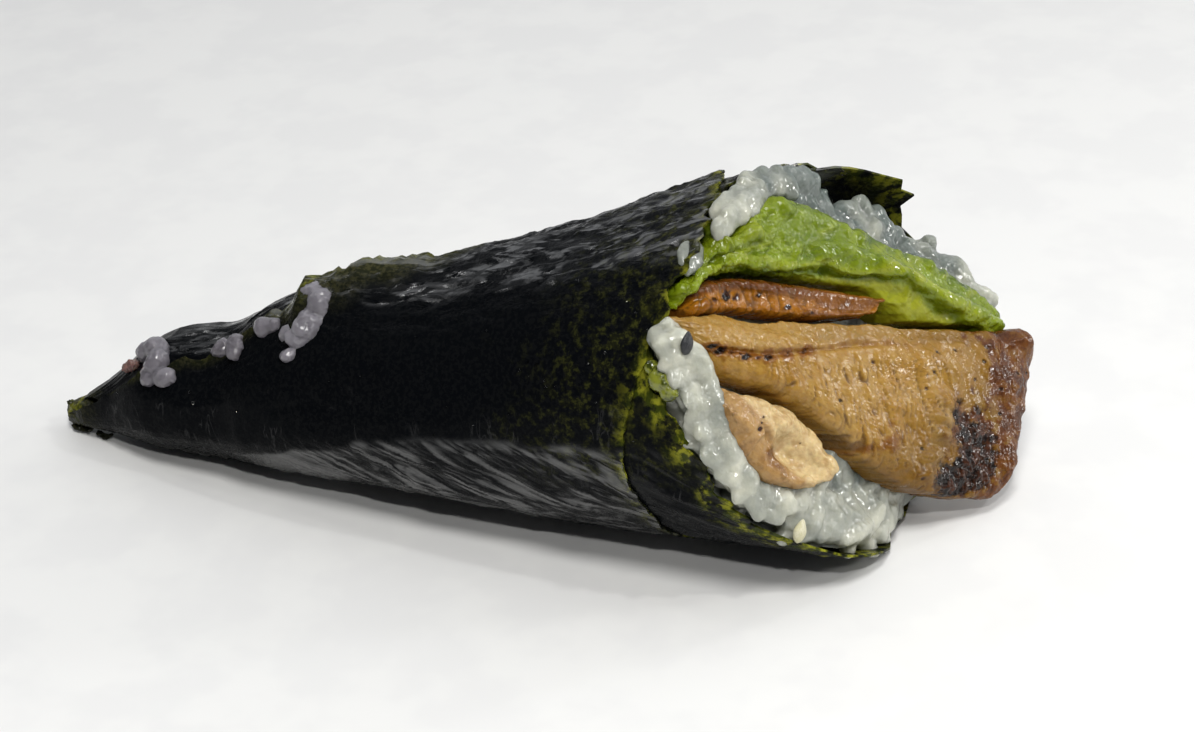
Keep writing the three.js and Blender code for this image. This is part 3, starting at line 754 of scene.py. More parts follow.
def lump(name, place, size, roughness, seed, turn=0.0, subdivisions=4):
    """A small uneven lump: an egg of a size, pushed in and out."""
    start_clean()
    bpy.ops.mesh.primitive_ico_sphere_add(subdivisions=subdivisions, radius=1)
    piece = named(name)
    bpy.ops.object.mode_set(mode="EDIT")
    bpy.ops.mesh.select_all(action="SELECT")
    bpy.ops.transform.resize(value=size)
    bpy.ops.object.mode_set(mode="OBJECT")
    spots = spots_of(piece)
    out = spots / np.linalg.norm(spots, axis=1, keepdims=True)
    reach = max(size)
    push = Noise(seed).rough(spots * 1.6 / reach, 4, 0.6) - 0.35
    push = push + 0.7 * Noise(seed + 1).creases(spots * 2.2 / reach)
    spots = spots + out * (roughness * push)[:, None]
    c, s = math.cos(math.radians(turn)), math.sin(math.radians(turn))
    x = spots[:, 0] * c + spots[:, 2] * s
    spots[:, 2] = spots[:, 2] * c - spots[:, 0] * s
    spots[:, 0] = x
    put_spots(piece, spots + np.array(place, float))
    return piece


def make_tip(material):
    """The pinched, torn end of the sheet."""
    nub = lump("nori_tip", (2.7, 0, 2.75), (3.2, 2.5, 2.1), 0.3, 31, turn=-12, subdivisions=5)
    spots = spots_of(nub)
    spots[:, 2] = np.maximum(spots[:, 2], 0.15)
    put_spots(nub, spots)
    # The nub's top gets the torn edges' olive and painted glow.
    top = smooth((spots[:, 2] - 2.2) / 1.2) * smooth((3.6 - spots[:, 0]) / 2)
    for key, values in {"rim": 0.7, "torn": 0.6 * top, "crinkled": 0.3, "folded": 0,
                        "leaf": 0.5 + 0.4 * top, "sheen": 0.3}.items():
        put_values(nub, key, values + 0 * top)
    finish_piece(nub, material, "nori")


# Torn flakes that hang under the tip: place, size, turn.
TIP_FLAKES = [((1.3, -1.2, 0.75), (1.0, 0.7, 0.5), 15), ((2.7, -1.6, 0.6), (1.1, 0.6, 0.4), -10),
              ((5.4, -2.3, 0.55), (0.8, 0.5, 0.35), 20), ((6.6, -2.6, 0.45), (0.9, 0.5, 0.3), -25),
              ((0.2, 0.2, 3.4), (0.9, 0.7, 0.55), 30)]


def make_flakes(material):
    for k, (place, size, turn) in enumerate(TIP_FLAKES):
        flake = lump(f"nori_flake_{k + 1}", place, size, 0.3, 120 + 3 * k, turn, 3)
        spots = spots_of(flake)
        spots[:, 2] = np.maximum(spots[:, 2], 0.05)
        put_spots(flake, spots)
        # The last flake gets the torn edges' olive and painted glow.
        olive = 0.9 if k == len(TIP_FLAKES) - 1 else 0.0
        for key, value in {"rim": 0.4, "torn": olive, "crinkled": 0.4, "folded": 0, "leaf": 0.3,
                           "sheen": 0.3}.items():
            put_values(flake, key, np.full(len(spots), value))
        finish_piece(flake, material, "nori")


def ball_shape(segments, rings, radius=1.0):
    """The corners and faces of a ball, to be stamped many times."""
    start_clean()
    bpy.ops.mesh.primitive_uv_sphere_add(segments=segments, ring_count=rings, radius=radius)
    ball = bpy.context.object
    shape, faces = spots_of(ball), [list(face.vertices) for face in ball.data.polygons]
    bpy.data.objects.remove(ball)
    return shape, faces


# Beads of water that cling to the sheet: place along X, angle and radius.
BEADS = [(71.0, 318, 0.16), (77.6, 305, 0.2), (76.6, 302, 0.17), (78.0, 300, 0.14), (79.0, 304, 0.17),
         (80.4, 298, 0.16), (80.8, 296, 0.2), (82.0, 296, 0.18), (88.6, 306, 0.16), (86.4, 303, 0.15),
         (75.4, 286, 0.13), (66.2, 288, 0.12), (64.4, 276, 0.13), (24.6, 300, 0.2), (25.4, 292, 0.2),
         (26.0, 288, 0.15), (33.0, 284, 0.15), (48.0, 300, 0.14), (53.0, 302, 0.14), (11.5, 305, 0.3),
         (92.0, 318, 0.15), (90.5, 322, 0.13), (84.0, 322, 0.14), (94.0, 312, 0.14), (88.0, 290, 0.12),
         (93.0, 276, 0.14), (60.6, 318, 0.13), (96.2, 282, 0.15), (99.4, 276, 0.16), (70.2, 281, 0.12)]


def make_beads(material):
    """Domes of water, one mesh of them all."""
    places = []
    for x, angle, radius in BEADS:
        x, angle = np.array(float(x)), np.array(float(angle))
        layer = angle + 360 if x < rim_reach(angle + 360) else angle
        depth = PITCH * (UNDER_TURN - layer) / 360 - wrinkles(x, angle)
        squat = np.eye(3) * radius * np.array([1.2, 1, 1])
        places.append((0, squat, cone_point(x, angle, depth - 0.3 * radius)))
    beads = stamp("moisture_beads", [ball_shape(14, 9)], places, np.zeros(len(places)))
    finish_piece(beads, material, "nori")


# Domes of the blister and its froth: place along X and angle, radius and lift.
BLISTER = [((96.5, 296.5), 1.55, 0.25), ((95.2, 300.5), 1.0, 0.15), ((97.8, 292.5), 1.2, 0.2),
           ((96.2, 300.0), 0.5, 0.9), ((97.4, 295.4), 0.62, 1.2), ((97.0, 297.5), 0.45, 1.35),
           ((98.0, 293.6), 0.5, 1.0), ((95.7, 297.6), 0.42, 1.2), ((98.9, 292.0), 0.4, 0.5)]


def make_blister(material):
    """A wet blister on the inner turn's rim beside the rice, with froth on it."""
    places = []
    for (x, angle), radius, lift in BLISTER:
        x, angle = np.array(float(x)), np.array(float(angle))
        depth = PITCH * (UNDER_TURN - angle) / 360
        places.append((0, np.eye(3) * radius, cone_point(x, angle, depth - lift)))
    blister = stamp("nori_blister", [ball_shape(28, 20)], places, np.zeros(len(places)))
    melt(blister, 0.14, 2)
    finish_piece(blister, material, "nori")


def make_crumb(material):
    """A pink crumb stuck to the crest of the first hump."""
    spot = cone_point(np.array(13.0), np.array(333.0), -0.2)
    crumb = lump("pink_crumb", spot, (1.5, 0.8, 0.7), 0.35, 140, turn=-30)
    finish_piece(crumb, material, "rice")


# ---- rice ----
def rice_side(x, angle, extra=0.0):
    follow = PITCH * (UNDER_TURN - angle) / 360
    start = PITCH * UNDER_TURN / 360
    turn = lerp(follow, start, smooth((angle - 300) / 50))
    tip_slack = 1.3 * (1 - smooth((x - CORE_START) / 36))
    depth = turn + NORI_SOLID + RICE_CLEARANCE + tip_slack + extra
    return cone_point(x, angle, depth, PITCH + NORI_SOLID + RICE_CLEARANCE)


def rice_edge(angle):
    swell = 3.8 * hill(angle, 96, 24)
    return rice_side(rim_reach(angle) - 1.3 + swell, angle, 0.1 * swell)


def far_dip(angle):
    """How far the rice lies back from the far upper rim, so that the sheet's inner face shows there."""
    return FAR_DIP * band(angle, 42, 84, 12)


def rice_face(angle, out):
    """The rice's face at the mouth, from its middle (0) to its edge (1)."""
    edge = rice_edge(angle)
    y = lerp(RICE_CENTRE[0], edge[..., 1], out)
    z = lerp(RICE_CENTRE[1], edge[..., 2], out)
    overrun = edge[..., 0] - mouth_point(edge[..., 1], edge[..., 2])[..., 0]
    point = mouth_point(y, z)
    point[..., 0] += overrun * out**6 - 1.2 * (1 - out**4)
    return point


def grain_shapes(kinds):
    """Cooked grains: blunt, a little bent, with a nick at one end, each kind different."""
    random = np.random.default_rng(5)
    shapes = []
    for kind in range(kinds):
        spots, faces = ball_shape(14, 11, 0.5)
        end = spots[:, 2] * 2
        blunt = (1 - 0.88 * end**2) ** 0.36 / np.maximum((1 - end**2) ** 0.5, 1e-3)
        blunt = np.where(np.abs(end) > 0.999, 1, blunt)
        length, width = random.uniform(0.86, 1.1), random.uniform(0.9, 1.12)
        flat = random.uniform(0.76, 0.95)
        shape = xyz(spots[:, 0] * blunt * width * GRAIN_WIDTH,
                    spots[:, 1] * blunt * width * GRAIN_WIDTH * flat,
                    spots[:, 2] * length * GRAIN_LENGTH)
        shape[:, 0] += random.uniform(0.25, 0.6) * (end**2 - 0.3)
        nick = hill(end, 0.8, 0.25) * smooth(spots[:, 0] * 3)
        shape[:, 0] -= 0.7 * nick
        shape += 0.16 * Noise(40 + kind).rough(shape * 0.5)[:, None] * shape / GRAIN_WIDTH
        shapes.append((shape, faces))
    return shapes


def stamp(name, shapes, places, tones):
    """One mesh of many copies: each place is (shape number, 3 x 3 turn, centre)."""
    spots, faces, tone, count = [], [], [], 0
    for (kind, turn, centre), shade_of in zip(places, tones):
        shape, its_faces = shapes[kind]
        spots.append(shape @ np.array(turn).T + centre)
        faces.extend([[corner + count for corner in face] for face in its_faces])
        tone.append(np.full(len(shape), shade_of))
        count += len(shape)
    mesh = bpy.data.meshes.new(name)
    mesh.from_pydata(np.concatenate(spots).tolist(), [], faces)
    piece = bpy.data.objects.new(name, mesh)
    bpy.context.scene.collection.objects.link(piece)
    put_values(piece, "tone", np.concatenate(tone))
    return piece


def turn_to(direction, spin):
    """A turn that lays Z along the direction, spun about it."""
    aim = Vector(direction).to_track_quat("Z", "Y") @ Quaternion((0, 0, 1), spin)
    return np.array(aim.to_matrix())


def outline_distance(y, z, outline):
    """How far points lie outside a closed outline; below 0 inside it."""
    point = np.stack([y, z], -1)[:, None]
    a = outline[None]
    b = np.roll(outline, -1, axis=0)[None]
    run = b - a
    share = clamp01(((point - a) * run).sum(-1) / (run**2).sum(-1))
    gap = np.linalg.norm(point - a - run * share[..., None], axis=-1).min(1)
    above = (a[..., 1] > point[..., 1]) != (b[..., 1] > point[..., 1])
    rise = np.where(run[..., 1] == 0, 1e-9, run[..., 1])
    cross = a[..., 0] + (point[..., 1] - a[..., 1]) * run[..., 0] / rise
    inside = (above & (point[..., 0] < cross)).sum(1) % 2 == 1
    return np.where(inside, -gap, gap)


def melt(piece, voxel, rounds):
    """Runs overlapping grains into one sticky mass."""
    start_clean()
    piece.select_set(True)
    bpy.context.view_layer.objects.active = piece
    remesh = piece.modifiers.new("melt", "REMESH")
    remesh.mode, remesh.voxel_size = "VOXEL", voxel
    soften = piece.modifiers.new("soften", "SMOOTH")
    soften.factor, soften.iterations = 0.5, rounds
    apply_all(piece)


def roughen(piece, push):
    """Moves each place along its normal by push, worked out from where it is."""
    normals, spots = normals_of(piece), spots_of(piece)
    put_spots(piece, spots + normals * push(spots)[:, None])


def tint_by_grain(piece, centres, tones):
    """Each place takes the tone of the grains nearest to it."""
    for held in [held for held in piece.data.attributes if held.name == "tone"]:
        piece.data.attributes.remove(held)
    tree = KDTree(len(centres))
    for k, centre in enumerate(centres):
        tree.insert(centre, k)
    tree.balance()
    spots = spots_of(piece)
    values = np.empty(len(spots))
    for k, spot in enumerate(spots):
        near = tree.find_n(spot, 3)
        weights = [1 / (0.05 + gap) ** 3 for _, _, gap in near]
        values[k] = sum(w * tones[n] for w, (_, n, _) in zip(weights, near)) / sum(weights)
    put_values(piece, "tone", clamp01(values))


# Layers of grains in the rice's face: tries, how far they stand out of it (least and most), spacing and least
# distance from a filling.
RICE_LAYERS = [(3400, -0.25, 0.1, 1.9, 0.0), (1500, -2.2, -1.3, 2.3, 0.3)]
RICE_INSET = 1.3
FAR_DIP = 3.6
VOXEL = 0.24
BETWEEN_FILLINGS = 4.2
# Rice heaped against the strips on the near side: y, z and how far it stands out of the mouth's plane.
LEFT_GRAINS = [(-20.9, 36.3, -0.1), (-21.3, 34.5, 0.0), (-21.5, 32.6, 0.1), (-21.9, 30.5, 0.2),
               (-22.7, 28.3, 0.3), (-23.6, 26.0, 0.3), (-24.2, 23.7, 0.3), (-24.4, 21.2, 0.3),
               (-24.2, 18.7, 0.3), (-23.6, 16.2, 0.3), (-22.4, 13.9, 0.4), (-19.2, 36.0, 0.5),
               (-19.3, 34.0, 0.9), (-19.1, 32.2, 1.0), (-19.6, 30.3, 1.0), (-20.5, 28.5, 1.0),
               (-21.5, 26.5, 0.9), (-22.3, 24.2, 0.9), (-22.8, 21.8, 0.8), (-22.7, 19.2, 0.8),
               (-21.9, 16.7, 0.9), (-20.3, 14.6, 0.9), (-18.3, 13.2, 0.7)]
# Rice level with the sheet's upper rim, in front of the avocado's upper left.
TOP_GRAINS = [(-5.6, 44.1, 2.0), (-3.8, 44.6, 2.2), (-2.0, 44.7, 2.2), (-3.2, 45.4, 0.8),
              (-0.2, 44.7, 1.9), (-1.2, 45.6, 0.9), (1.6, 44.6, 1.6), (0.8, 45.7, 0.6), (3.2, 44.8, 1.0),
              (2.8, 45.9, 0.0), (5.0, 44.9, 0.6), (4.8, 46.0, -0.6), (6.8, 45.6, -0.4), (7.0, 44.4, 0.6),
              (9.0, 44.8, -0.2), (8.6, 43.4, 0.6),
              (10.8, 44.0, -0.4), (12.6, 43.0, -0.4), (-10.6, 42.4, 0.2), (-9.6, 42.9, -0.2)]
# Where the rice's tone is lowered toward its darker clear colour, as painted shade: beside the chicken's
# lower edge, in the top middle, where the grains are also clearer, along the top and on the right: y, z,
# reach each way and strength.
RICE_PAINTED_SHADE = [(22, 29, 6, 9, 0.6), (13, 40, 8, 6, 1.2), (-8, 13, 4, 4, 0.7), (4, 45, 4, 1.5, 0.4),
            (20, 30, 6, 5, 0.4)]


# Grains that swell out past the sheet on the far side of the mouth: place along X, angle, heading and lift.
FAR_GRAINS = [(118.5, 99, 60, -2.6), (119.5, 94, 110, -2.4), (121.0, 104, 90, -2.6), (122.5, 97, 20, -3.6),
              (120.5, 110, 60, -2.8)]


def face_grains(random, shapes):
    """Grains that cover the rice's face round the fillings, most of them lying flat: places and tones."""
    outlines = [filling_outline(shape) for shape in FILLINGS.values()]
    places, tones = [], []
    for tries, low, high, spacing, margin in RICE_LAYERS:
        layer = []
        for k in range(tries):
            angle = np.array((k * 137.508) % 360)
            edge = rice_edge(angle)
            radius = math.hypot(edge[1] - RICE_CENTRE[0], edge[2] - RICE_CENTRE[1])
            out = (1 - (RICE_INSET + 0.8 * far_dip(angle)) / radius) * math.sqrt((k + 0.5) / tries)
            left = band(angle, 225, 312, 14) * smooth((out - 0.5) / 0.2) * (1 - smooth((out - 0.9) / 0.08))
            sunk = 0.5 * far_dip(angle) * smooth((out - 0.6) / 0.25)
            spot = rice_face(angle, np.array(out)) + OUTWARD * (random.uniform(low, high) + 1.3 * left - sunk)
            heading, tilt = random.uniform(0, 2 * math.pi), random.normal(0, 0.22)
            spin, kind, tone = random.uniform(0, 6.28), random.integers(len(shapes)), random.uniform(0, 1)
            if layer and np.min(np.linalg.norm(np.array(layer) - spot, axis=1)) < spacing:
                continue
            y, z, _ = on_mouth(spot[None])
            gaps = sorted(outline_distance(y, z, outline)[0] for outline in outlines)
            if gaps[0] < margin or gaps[0] + gaps[1] < BETWEEN_FILLINGS:
                continue
            rim = smooth((out - 0.8) / 0.12)
            spoke = math.atan2(edge[2] - RICE_CENTRE[1], edge[1] - RICE_CENTRE[0]) + math.pi / 2
            heading = lerp(heading, spoke + random.normal(0, 0.5), rim)
            across = np.array([0, math.cos(heading), math.sin(heading)])
            across = across - OUTWARD * (across @ OUTWARD)
            direction = across / np.linalg.norm(across) + tilt * OUTWARD
            layer.append(spot)
            places.append((kind, turn_to(direction, spin), spot))
            # Painted shade: the grain's tone is lowered where the rice lies in shade.
            tones.append(0.2 + 0.8 * tone - marks(y[0], z[0], RICE_PAINTED_SHADE))
    return places, tones


def flat_grain(y, z, stand, random, shapes):
    """A grain pressed flat against the mouth: its kind, turn and centre."""
    heading = random.uniform(0, math.pi)
    direction = np.array([0, math.cos(heading), math.sin(heading)])
    direction = direction - OUTWARD * (direction @ OUTWARD) + random.normal(0, 0.2) * OUTWARD
    direction = direction / np.linalg.norm(direction)
    side = np.cross(OUTWARD, direction)
    side = side / np.linalg.norm(side)
    turn = np.stack([side, np.cross(direction, side), direction], 1)
    turn = turn * np.array([random.uniform(0.95, 1.35), 0.72, random.uniform(0.5, 0.8)])
    return int(random.integers(len(shapes))), turn, mouth_point(np.array(y), np.array(z), stand)


def make_rice(material, shapes):
    random = np.random.default_rng(77)
    places, tones = face_grains(random, shapes)
    under = [(y + 1.0, z + 0.7, stand - 1.3) for y, z, stand in LEFT_GRAINS]
    for y, z, stand in LEFT_GRAINS + TOP_GRAINS + under:
        places.append(flat_grain(y, z, stand, random, shapes))
        # Painted shade: the grain's tone is lowered where the rice lies in shade.
        tones.append(random.uniform(0.3, 1) - marks(y, z, RICE_PAINTED_SHADE))
    for far_grain in FAR_GRAINS:
        places.append(grain_on_roll(*far_grain, random, shapes))
        tones.append(random.uniform(0, 0.5))
    rice = stamp("rice_grains", shapes, places, tones)
    melt(rice, VOXEL, 15)
    roughen(rice, lambda spots: 0.17 * Noise(56).rough(spots * 0.5, 2)
            + 0.07 * Noise(57).creases(spots * 1.1))
    tint_by_grain(rice, [centre for _, _, centre in places], tones)
    finish_piece(rice, material, "rice", "rice")


def grain_on_roll(x, angle, heading, lift, random, shapes, squeeze=(1, 1, 1)):
    """A grain lying on the roll's outside: its kind, turn and centre."""
    x, angle = np.array(float(x)), np.array(float(angle))
    here = cone_point(x, angle, 0.0)
    along = cone_point(x + 1, angle, 0.0) - here
    round_it = cone_point(x, angle + 4, 0.0) - here
    heading = math.radians(heading)
    direction = (along / np.linalg.norm(along) * math.cos(heading)
                 + round_it / np.linalg.norm(round_it) * math.sin(heading))
    turn = turn_to(direction, random.uniform(0, 6.28)) * np.array(squeeze)
    depth = PITCH * (UNDER_TURN - angle - 360) / 360
    return int(random.integers(len(shapes))), turn, cone_point(x, angle, depth - lift)


def make_rice_core(material):
    """What lies under the grains that show: a lumpy body that fills the sheet."""
    start_clean()
    bpy.ops.mesh.primitive_uv_sphere_add(segments=160, ring_count=120, radius=1)
    core = named("rice_core")
    spots = spots_of(core)
    angle = np.degrees(np.arctan2(spots[:, 1], spots[:, 0])) % 360
    fall = np.arccos(np.clip(spots[:, 2], -1, 1)) / math.pi
    face_share = 0.4
    out = clamp01(fall / face_share)
    back = clamp01((fall - face_share) / (1 - face_share))
    sunk = 2.1
    face = rice_face(angle, out)
    deep_rim = 2.4 * far_dip(angle)
    face[:, 0] -= sunk + deep_rim * smooth((out - 0.66) / 0.34)
    edge = rice_edge(angle)
    x = lerp(edge[:, 0] - sunk - deep_rim, CORE_START, back**0.8)
    side = rice_side(x, angle)
    last = smooth((fall - 0.97) / 0.03)[:, None]
    middle = np.array([CORE_START, 0, top_height(CORE_START) / 2])
    side = lerp(side, middle, last)
    shape = np.where((fall <= face_share)[:, None], face, side)
    lumps = Noise(51).rough(shape * 0.42, 2) * np.where(fall <= face_share + 0.02, 1.0, 0.0) * (1 - out**8)
    put_spots(core, shape + (0.5 * lumps)[:, None] * OUTWARD)
    put_values(core, "tone", 0.3 + 0 * fall)
    finish_piece(core, material, "rice", "rice")


# Single grains that have pushed out along the seam: place along X, angle, heading, lift and size.
SEAM_GRAINS = [(16.0, 339, 30, 0.3, 0.9), (17.8, 336, 100, 0.4, 0.95), (18.6, 323, 70, 0.6, 1.05),
               (17.6, 313, 100, 0.4, 0.85), (20.3, 311, 10, 0.4, 0.9), (28.2, 334, 60, 0.2, 0.72),
               (31.2, 329, 75, 0.4, 0.95), (35.6, 336, 0, 0.1, 0.8), (37.2, 335, 20, 0.1, 0.7),
               (43.8, 355, 80, 0.3, 0.8), (43.0, 346, 20, 0.6, 1.2), (44.6, 340, 90, 0.6, 1.2),
               (43.4, 330, 60, 0.5, 1.2), (42.2, 324, 0, 0.3, 0.95), (40.2, 328, 20, 0.0, 0.8),
               (41.0, 315, 10, 0.1, 0.6)]
SEAM_SQUEEZE = (1.15, 1.15, 0.62)


def make_seam_grains(material, shapes):
    random = np.random.default_rng(9)
    squeeze = np.array(SEAM_SQUEEZE)
    places = [grain_on_roll(*grain[:4], random, shapes, squeeze * grain[4]) for grain in SEAM_GRAINS]
    tones = [random.uniform(0.1, 0.5) + 0.5 * (grain[0] > 38) for grain in SEAM_GRAINS]
    grains = stamp("seam_grains", shapes, places, tones)
    melt(grains, 0.18, 9)
    roughen(grains, lambda spots: 0.16 * Noise(58).rough(spots * 0.55, 3)
            + 0.12 * Noise(59).creases(spots * 0.9))
    tint_by_grain(grains, [centre for _, _, centre in places], tones)
    finish_piece(grains, material, "rice", "nori_wrap")


def make_seed(name, material, y, z, lift, direction):
    """A flat drop-shaped sesame seed, stuck to the rice."""
    start_clean()
    bpy.ops.mesh.primitive_uv_sphere_add(segments=32, ring_count=24, radius=0.5)
    seed = named(name)
    bpy.ops.object.mode_set(mode="EDIT")
    bpy.ops.mesh.select_all(action="SELECT")
    bpy.ops.transform.resize(value=(SEED_WIDTH, SEED_THICKNESS, SEED_LENGTH))
    bpy.ops.object.mode_set(mode="OBJECT")
    spots = spots_of(seed)
    end = spots[:, 2] / SEED_LENGTH * 2
    spots[:, :2] *= (1 - 0.38 * smooth((end + 0.1) / 1.1))[:, None]
    aim = np.array(direction) / np.linalg.norm(direction)
    side = np.cross(OUTWARD, aim)
    side /= np.linalg.norm(side)
    turn = np.stack([side, np.cross(aim, side), aim], 1)
    put_spots(seed, spots @ turn.T + mouth_point(np.array(y), np.array(z), lift))
    finish_piece(seed, material, "rice", "rice")


# ---- fillings ----
def crown(u, v, height, power=4):
    across = 1 - np.abs(2 * v - 1) ** power
    along = 1 - np.abs(2 * u - 1) ** (power * 2)
    return height * np.sqrt(np.maximum(across * along, 0))


def avocado_stand(u, v):
    ridge = 1.6 * hill(v, 0.42, 0.15) * smooth((u - 0.4) / 0.2)
    lumps = 0.9 * np.sin(14 * u + 5 * v) * np.sin(9 * v + 3) * (1 - u)
    return 4.5 * u - 1.5 + crown(u, v, 2.4) + crown(u, v, 1, 2) * (ridge + lumps)


def small_strip_stand(u, v):
    return 3.5 * u - 1.5 + crown(u, v, 2.2) + 0.3 * crown(u, v, 1, 2) * np.sin(11 * u + 4 * v)


def large_strip_stand(u, v):
    shoulder = 1.7 * smooth((v - 0.76) / 0.24)
    sag = 0.5 * crown(u, v, 1, 2) * np.sin(7 * u + 2 * v)
    swing = 8 * (1 - (1 - u) ** 1.6) - 1.8
    return swing + crown(u, v, 2.6) - crown(u, v, 1, 2) * shoulder + sag


def lower_piece_stand(u, v):
    hollow = 1.9 * hill(u, 0.66, 0.16) * hill(v, 0.45, 0.2)
    return 0.2 + 0.8 * u + crown(u, v, 3) + crown(u, v, 1, 2) * (0.4 * np.sin(13 * u - 6 * v) - hollow)


FILLINGS = {
    "avocado": {
        "low": [(-14.9, 38.6), (-12.2, 40.2), (-9.4, 40), (-6.9, 39.1), (-1.9, 35.9), (3.4, 32.2), (8, 29),
                (9.4, 25.7), (10.6, 22.9), (15.5, 19.9), (21.4, 16.2)],
        "high": [(-13.8, 40.3), (-11.4, 41.4), (-8.6, 42.6), (-5.1, 43.8), (-0.2, 44.2), (3.6, 43.6),
                 (7.1, 41.9), (10.3, 37.9), (14.7, 32.3), (20.3, 25.8), (23.3, 19.9), (22.9, 16.6)],
        "stand": avocado_stand, "columns": 300, "rows": 130},
    "chicken_strip_large": {
        "low": [(-17, 36), (-17.4, 30.6), (-13, 25.7), (-9.9, 18.6), (-7.5, 10.9), (-2.6, 5.8),
                (0.8, 3.6), (2.3, 2.8), (3.4, 2.6)],
        "high": [(-16.6, 38.1), (-13.5, 36.6), (-9.4, 33.6), (-3.7, 30.3), (3.9, 26.1), (11.8, 21.6),
                 (17, 18.3), (19.8, 16.4), (21.5, 13.6)],
        "stand": large_strip_stand, "columns": 330, "rows": 200},
    "chicken_strip_small": {
        "low": [(-13.8, 37.8), (-10.9, 35.8), (-6.4, 32.9), (-2.3, 30.3), (1.2, 28.4), (6.4, 26.3)],
        "high": [(-12.6, 39.4), (-9.8, 39.4), (-7.4, 38.6), (-2.3, 35.4), (3, 31.8), (7.8, 28.5), (9.5, 27)],
        "stand": small_strip_stand, "columns": 200, "rows": 60},
    "chicken_piece_lower": {
        "low": [(-20.8, 28.5), (-21.7, 26.3), (-22.1, 23.1), (-22, 19.8), (-20.6, 16.8), (-17.1, 14.8),
                (-13.6, 14)],
        "high": [(-19.6, 29.4), (-18.3, 29.4), (-16.1, 27.4), (-13.3, 24.7), (-12.1, 22.4), (-11.5, 19.7),
                 (-11.5, 16.9), (-12.2, 14.9)],
        "stand": lower_piece_stand, "columns": 160, "rows": 110},
}
# How far the walls of a filling run back from its face at each step, as a share of the way to the tip.
WALL_STEPS = [0.992, 0.984, 0.974, 0.962, 0.948, 0.93, 0.9, 0.85, 0.75, 0.6, 0.48, FILLING_DEPTH]


def filling_outline(shape):
    share = np.linspace(0, 1, 40)
    low, high = spline(shape["low"])(share), spline(shape["high"])(share)
    return np.concatenate([low, high[::-1]])


# The skin of a filling: its places in space, their y and z on the mouth and how far out they stand, and how
# far along (u) and across (v) its face they are.
Skin = namedtuple("Skin", "spots y z stand u v")


def skin_of(piece, u, v):
    """Where all corners of a filling are. Those on its walls take u and v from the face's nearest edge."""
    spots = spots_of(piece)
    y, z, stand = on_mouth(spots)
    face_count = len(u)
    tree = KDTree(face_count)
    edge = (u <= 1e-6) | (u >= 1 - 1e-6) | (v <= 1e-6) | (v >= 1 - 1e-6)
    for k in np.flatnonzero(edge):
        tree.insert((y[k], z[k], 0), int(k))
    tree.balance()
    near = [tree.find((y[k], z[k], 0))[1] for k in range(face_count, len(spots))]
    return Skin(spots, y, z, stand, np.append(u, u[near]), np.append(v, v[near]))


def make_filling(name, kind, material, slot, relief, values):
    """A strip whose face lies on the mouth and whose walls run back towards the tip."""
    shape = FILLINGS[name]
    low, high = spline(shape["low"]), spline(shape["high"])

    def place(u, v):
        on = lerp(low(u), high(u), v[:, None])
        return mouth_point(on[:, 0], on[:, 1], shape["stand"](u, v))
    piece, u, v = grid_piece(f"{name}_{kind}", shape["columns"], shape["rows"], place)
    bpy.ops.object.mode_set(mode="EDIT")
    bpy.ops.mesh.select_all(action="DESELECT")
    bpy.ops.mesh.select_mode(type="EDGE")
    bpy.ops.mesh.select_non_manifold()
    reached = 1.0
    for share in WALL_STEPS:
        bpy.ops.mesh.extrude_edges_move()
        bpy.ops.transform.resize(value=(share / reached,) * 3, center_override=tuple(TIP))
        reached = share
    bpy.ops.mesh.edge_face_add()
    bpy.ops.object.mode_set(mode="OBJECT")
    skin = skin_of(piece, u, v)
    put_spots(piece, skin.spots + normals_of(piece) * relief(skin)[:, None])
    for key, worked_out in values(skin).items():
        put_values(piece, key, worked_out)
    finish_piece(piece, material, slot, name)


def marks(y, z, places):
    """The strongest of the soft spots at places on the mouth: y, z, reach each way and strength."""
    total = 0 * y
    for at_y, at_z, wide, tall, strength in places:
        total = np.maximum(total, strength * np.exp(-((y - at_y) / wide) ** 2 - ((z - at_z) / tall) ** 2))
    return total


def above(y, z, line):
    """How far points on the mouth lie above a line that runs to the right, in millimetres."""
    ys, zs = np.array(line, float).T
    slope = np.gradient(zs, ys)
    lean = np.interp(y, ys, slope)
    return (z - np.interp(y, ys, zs)) / np.sqrt(1 + lean**2)


AVOCADO_RIDGE = [(-16, 41.5), (-9, 41), (-5.4, 39.7), (-1.3, 36.9), (3.2, 34.9), (6, 33.1), (9, 31.1),
                 (11.2, 29.1), (12.7, 26.7), (15, 23.2), (18, 19.5), (24, 12)]


# Marks on the wedge: y, z, reach each way and strength.
AVOCADO_NOTCHES = [(3.6, 33.8, 0.5, 1.3, 0.8), (-4, 43.7, 2.0, 0.9, 1.2), (-9.5, 41.6, 1.4, 0.5, 0.7)]
AVOCADO_LUMPS = [(-2.7, 42.0, 1.6, 0.8, 0.9), (3.6, 42.6, 1.2, 1.2, 1.0), (-6.4, 42.4, 1.3, 0.9, 0.8),
                 (-12.6, 40.0, 1.6, 0.7, 0.8), (-10.4, 40.9, 0.9, 0.6, 0.6), (17.6, 27.6, 1.0, 0.8, 0.8)]
# The pits are painted dark, as shade in the notches.
AVOCADO_PITS = [(-4, 43.7, 2.4, 0.8, 1), (3.6, 33.6, 0.6, 1.3, 1), (-9.5, 41.6, 1.5, 0.5, 0.8)]


def avocado_layers(spots, y, z):
    """How far places lie over the wedge's ridge, and the smears and steps of its mashed top."""
    warp = 1.6 * Noise(60).rough(spots * 0.16, 2)
    over = above(y, z, AVOCADO_RIDGE) + 0.5 * Noise(62)(spots * 0.35)
    smear = Noise(61).rough(xyz(y * 0.16 + 0.4 * warp, z * 0.42 - 0.5 * warp), 2)
    step = Noise(64).rough(xyz(y * 0.1 + 0.3 * warp, z * 0.34), 2)
    return over, smear, step


